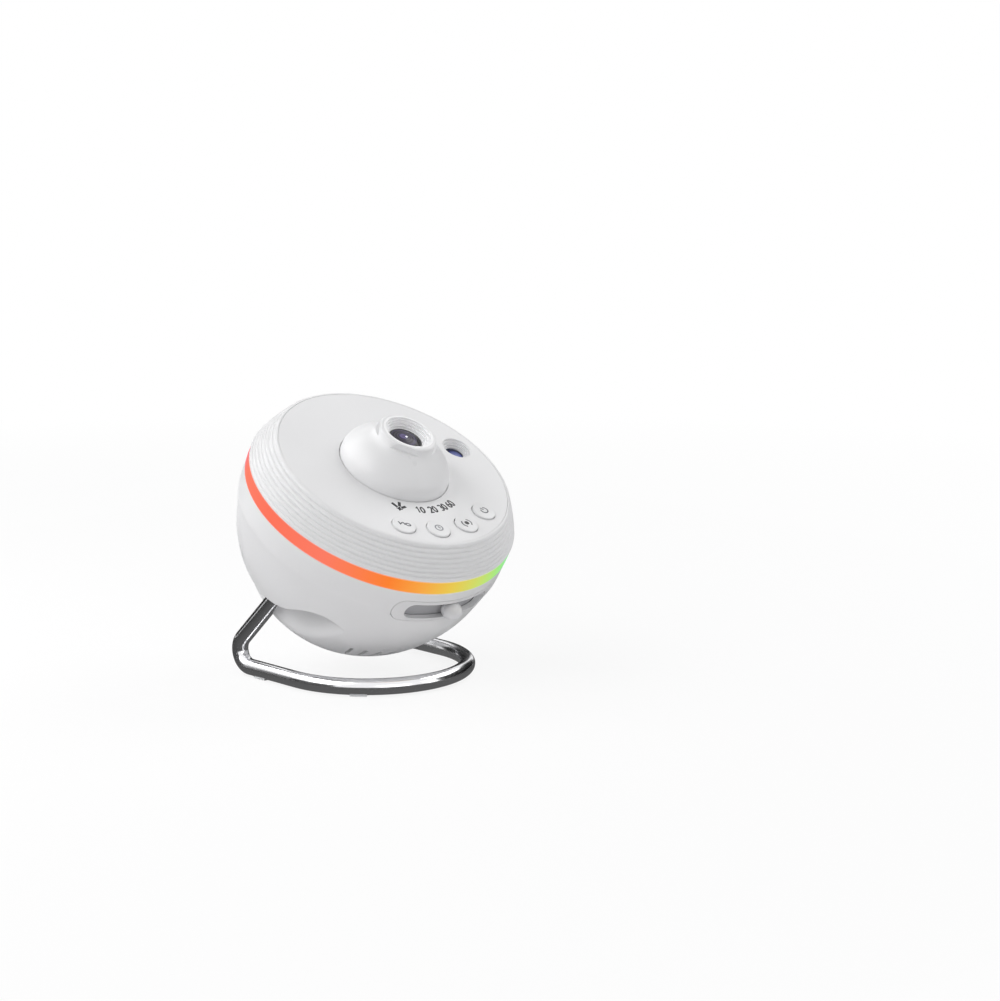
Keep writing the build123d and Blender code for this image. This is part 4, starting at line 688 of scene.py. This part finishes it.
def seen_directly(tree):
    """Output that is 1 for what the camera sees itself or in metal and glass."""
    rays = tree.nodes.new("ShaderNodeLightPath")
    result = rays.outputs["Is Camera Ray"]
    for other in ("Is Glossy Ray", "Is Transmission Ray"):
        either = tree.nodes.new("ShaderNodeMath")
        either.operation = "MAXIMUM"
        tree.links.new(result, either.inputs[0])
        tree.links.new(rays.outputs[other], either.inputs[1])
        result = either.outputs[0]
    return result


def mix_shaders(tree, share, first, second, output):
    """Send a mix of two shaders to an output node; share 0 gives the first."""
    mix = tree.nodes.new("ShaderNodeMixShader")
    tree.links.new(share, mix.inputs["Fac"])
    tree.links.new(first, mix.inputs[1])
    tree.links.new(second, mix.inputs[2])
    tree.links.new(mix.outputs["Shader"], output.inputs["Surface"])


def floor():
    """White floor that keeps the object's shadow and fades into the white behind it."""
    bpy.ops.mesh.primitive_plane_add(size=FLOOR_SIZE)
    plane = bpy.context.object
    plane.name = "floor"
    finish = Finish("floor_white", (242, 242, 243), 0.9)
    finish.worn(per_metre=3, low=0.85, high=0.95)
    away = finish.length(finish.place())
    fade = finish.span(away, FLOOR_NEAR, FLOOR_FAR, to_min=FLOOR_WHITE)
    share = finish.maths("MULTIPLY", seen_directly(finish.tree), fade)
    white = finish.node("ShaderNodeEmission")
    mix_shaders(finish.tree, share, finish.shader.outputs["BSDF"], white.outputs["Emission"],
                finish.nodes["Material Output"])
    dress(plane, finish.material)


def world():
    """Soft white light that is pure white where it is seen directly."""
    sky = bpy.data.worlds.new("studio")
    bpy.context.scene.world = sky
    sky.use_nodes = True
    tree = sky.node_tree
    soft = tree.nodes["Background"]
    white = tree.nodes.new("ShaderNodeBackground")
    for background, strength in ((soft, WORLD_LIGHT), (white, 1.0)):
        background.inputs["Color"].default_value = (1, 1, 1, 1)
        background.inputs["Strength"].default_value = strength
    mix_shaders(tree, seen_directly(tree), soft.outputs["Background"],
                white.outputs["Background"], tree.nodes["World Output"])


def facing(place, axis):
    """Turn that points an axis from a place to the object's middle."""
    return (Vector(CENTRE) - Vector(place)).to_track_quat(axis, "Y").to_euler()


def softbox(name, place, size, power):
    """Square area lamp that faces the object."""
    lamp = bpy.data.lights.new(name, "AREA")
    lamp.shape = "SQUARE"
    lamp.size = size
    lamp.energy = power
    box = bpy.data.objects.new(name, lamp)
    bpy.context.scene.collection.objects.link(box)
    box.location = place
    box.rotation_euler = facing(place, "-Z")
    box.visible_camera = False


def flag(name, place, size, shade, flat):
    """Card that only reflections see; it gives the chrome its dark bands."""
    bpy.ops.mesh.primitive_plane_add(size=1)
    card = bpy.context.object
    card.name = name
    card.scale = (size[0], size[1], 1)
    card.location = place
    if not flat:
        card.rotation_euler = facing(place, "Z")
    card.visible_camera = False
    card.visible_diffuse = False
    card.visible_transmission = False
    card.visible_shadow = False
    finish = Finish(name, (0, 0, 0), 0.9, Specular_IOR_Level=0.0)
    stops = [(where, (shade * share,) * 3) for where, share in FLAG_FADE]
    finish.glow(radial_ramp(finish, (0, 0, 0), FLAG_FADE_R, stops))
    dress(card, finish.material)


floor()
world()
for lamp in LAMPS:
    softbox(*lamp)
for card in FLAGS:
    flag(*card)

# ---- camera ------------------------------------------------------------------------
CAMERA_AT = (-0.8119, -0.93483, 0.3073)
CAMERA_TURN = 43.826              # looks this far from +Y towards +X, degrees
CAMERA_DOWN = 10.14               # and this far down
SENSOR_W = 36.0                   # millimetres
FRAME_PX = 1000                   # width of the photo
FOCAL_PX = 2580.0                 # focal length in the photo's pixels

lens = bpy.data.cameras.new("camera")
lens.sensor_width = SENSOR_W
lens.lens = FOCAL_PX / FRAME_PX * SENSOR_W
camera = bpy.data.objects.new("camera", lens)
bpy.context.scene.collection.objects.link(camera)
camera.location = CAMERA_AT
camera.rotation_euler = (math.radians(90 - CAMERA_DOWN), 0, math.radians(-CAMERA_TURN))
bpy.context.scene.camera = camera
bpy.context.scene.view_settings.view_transform = "Standard"
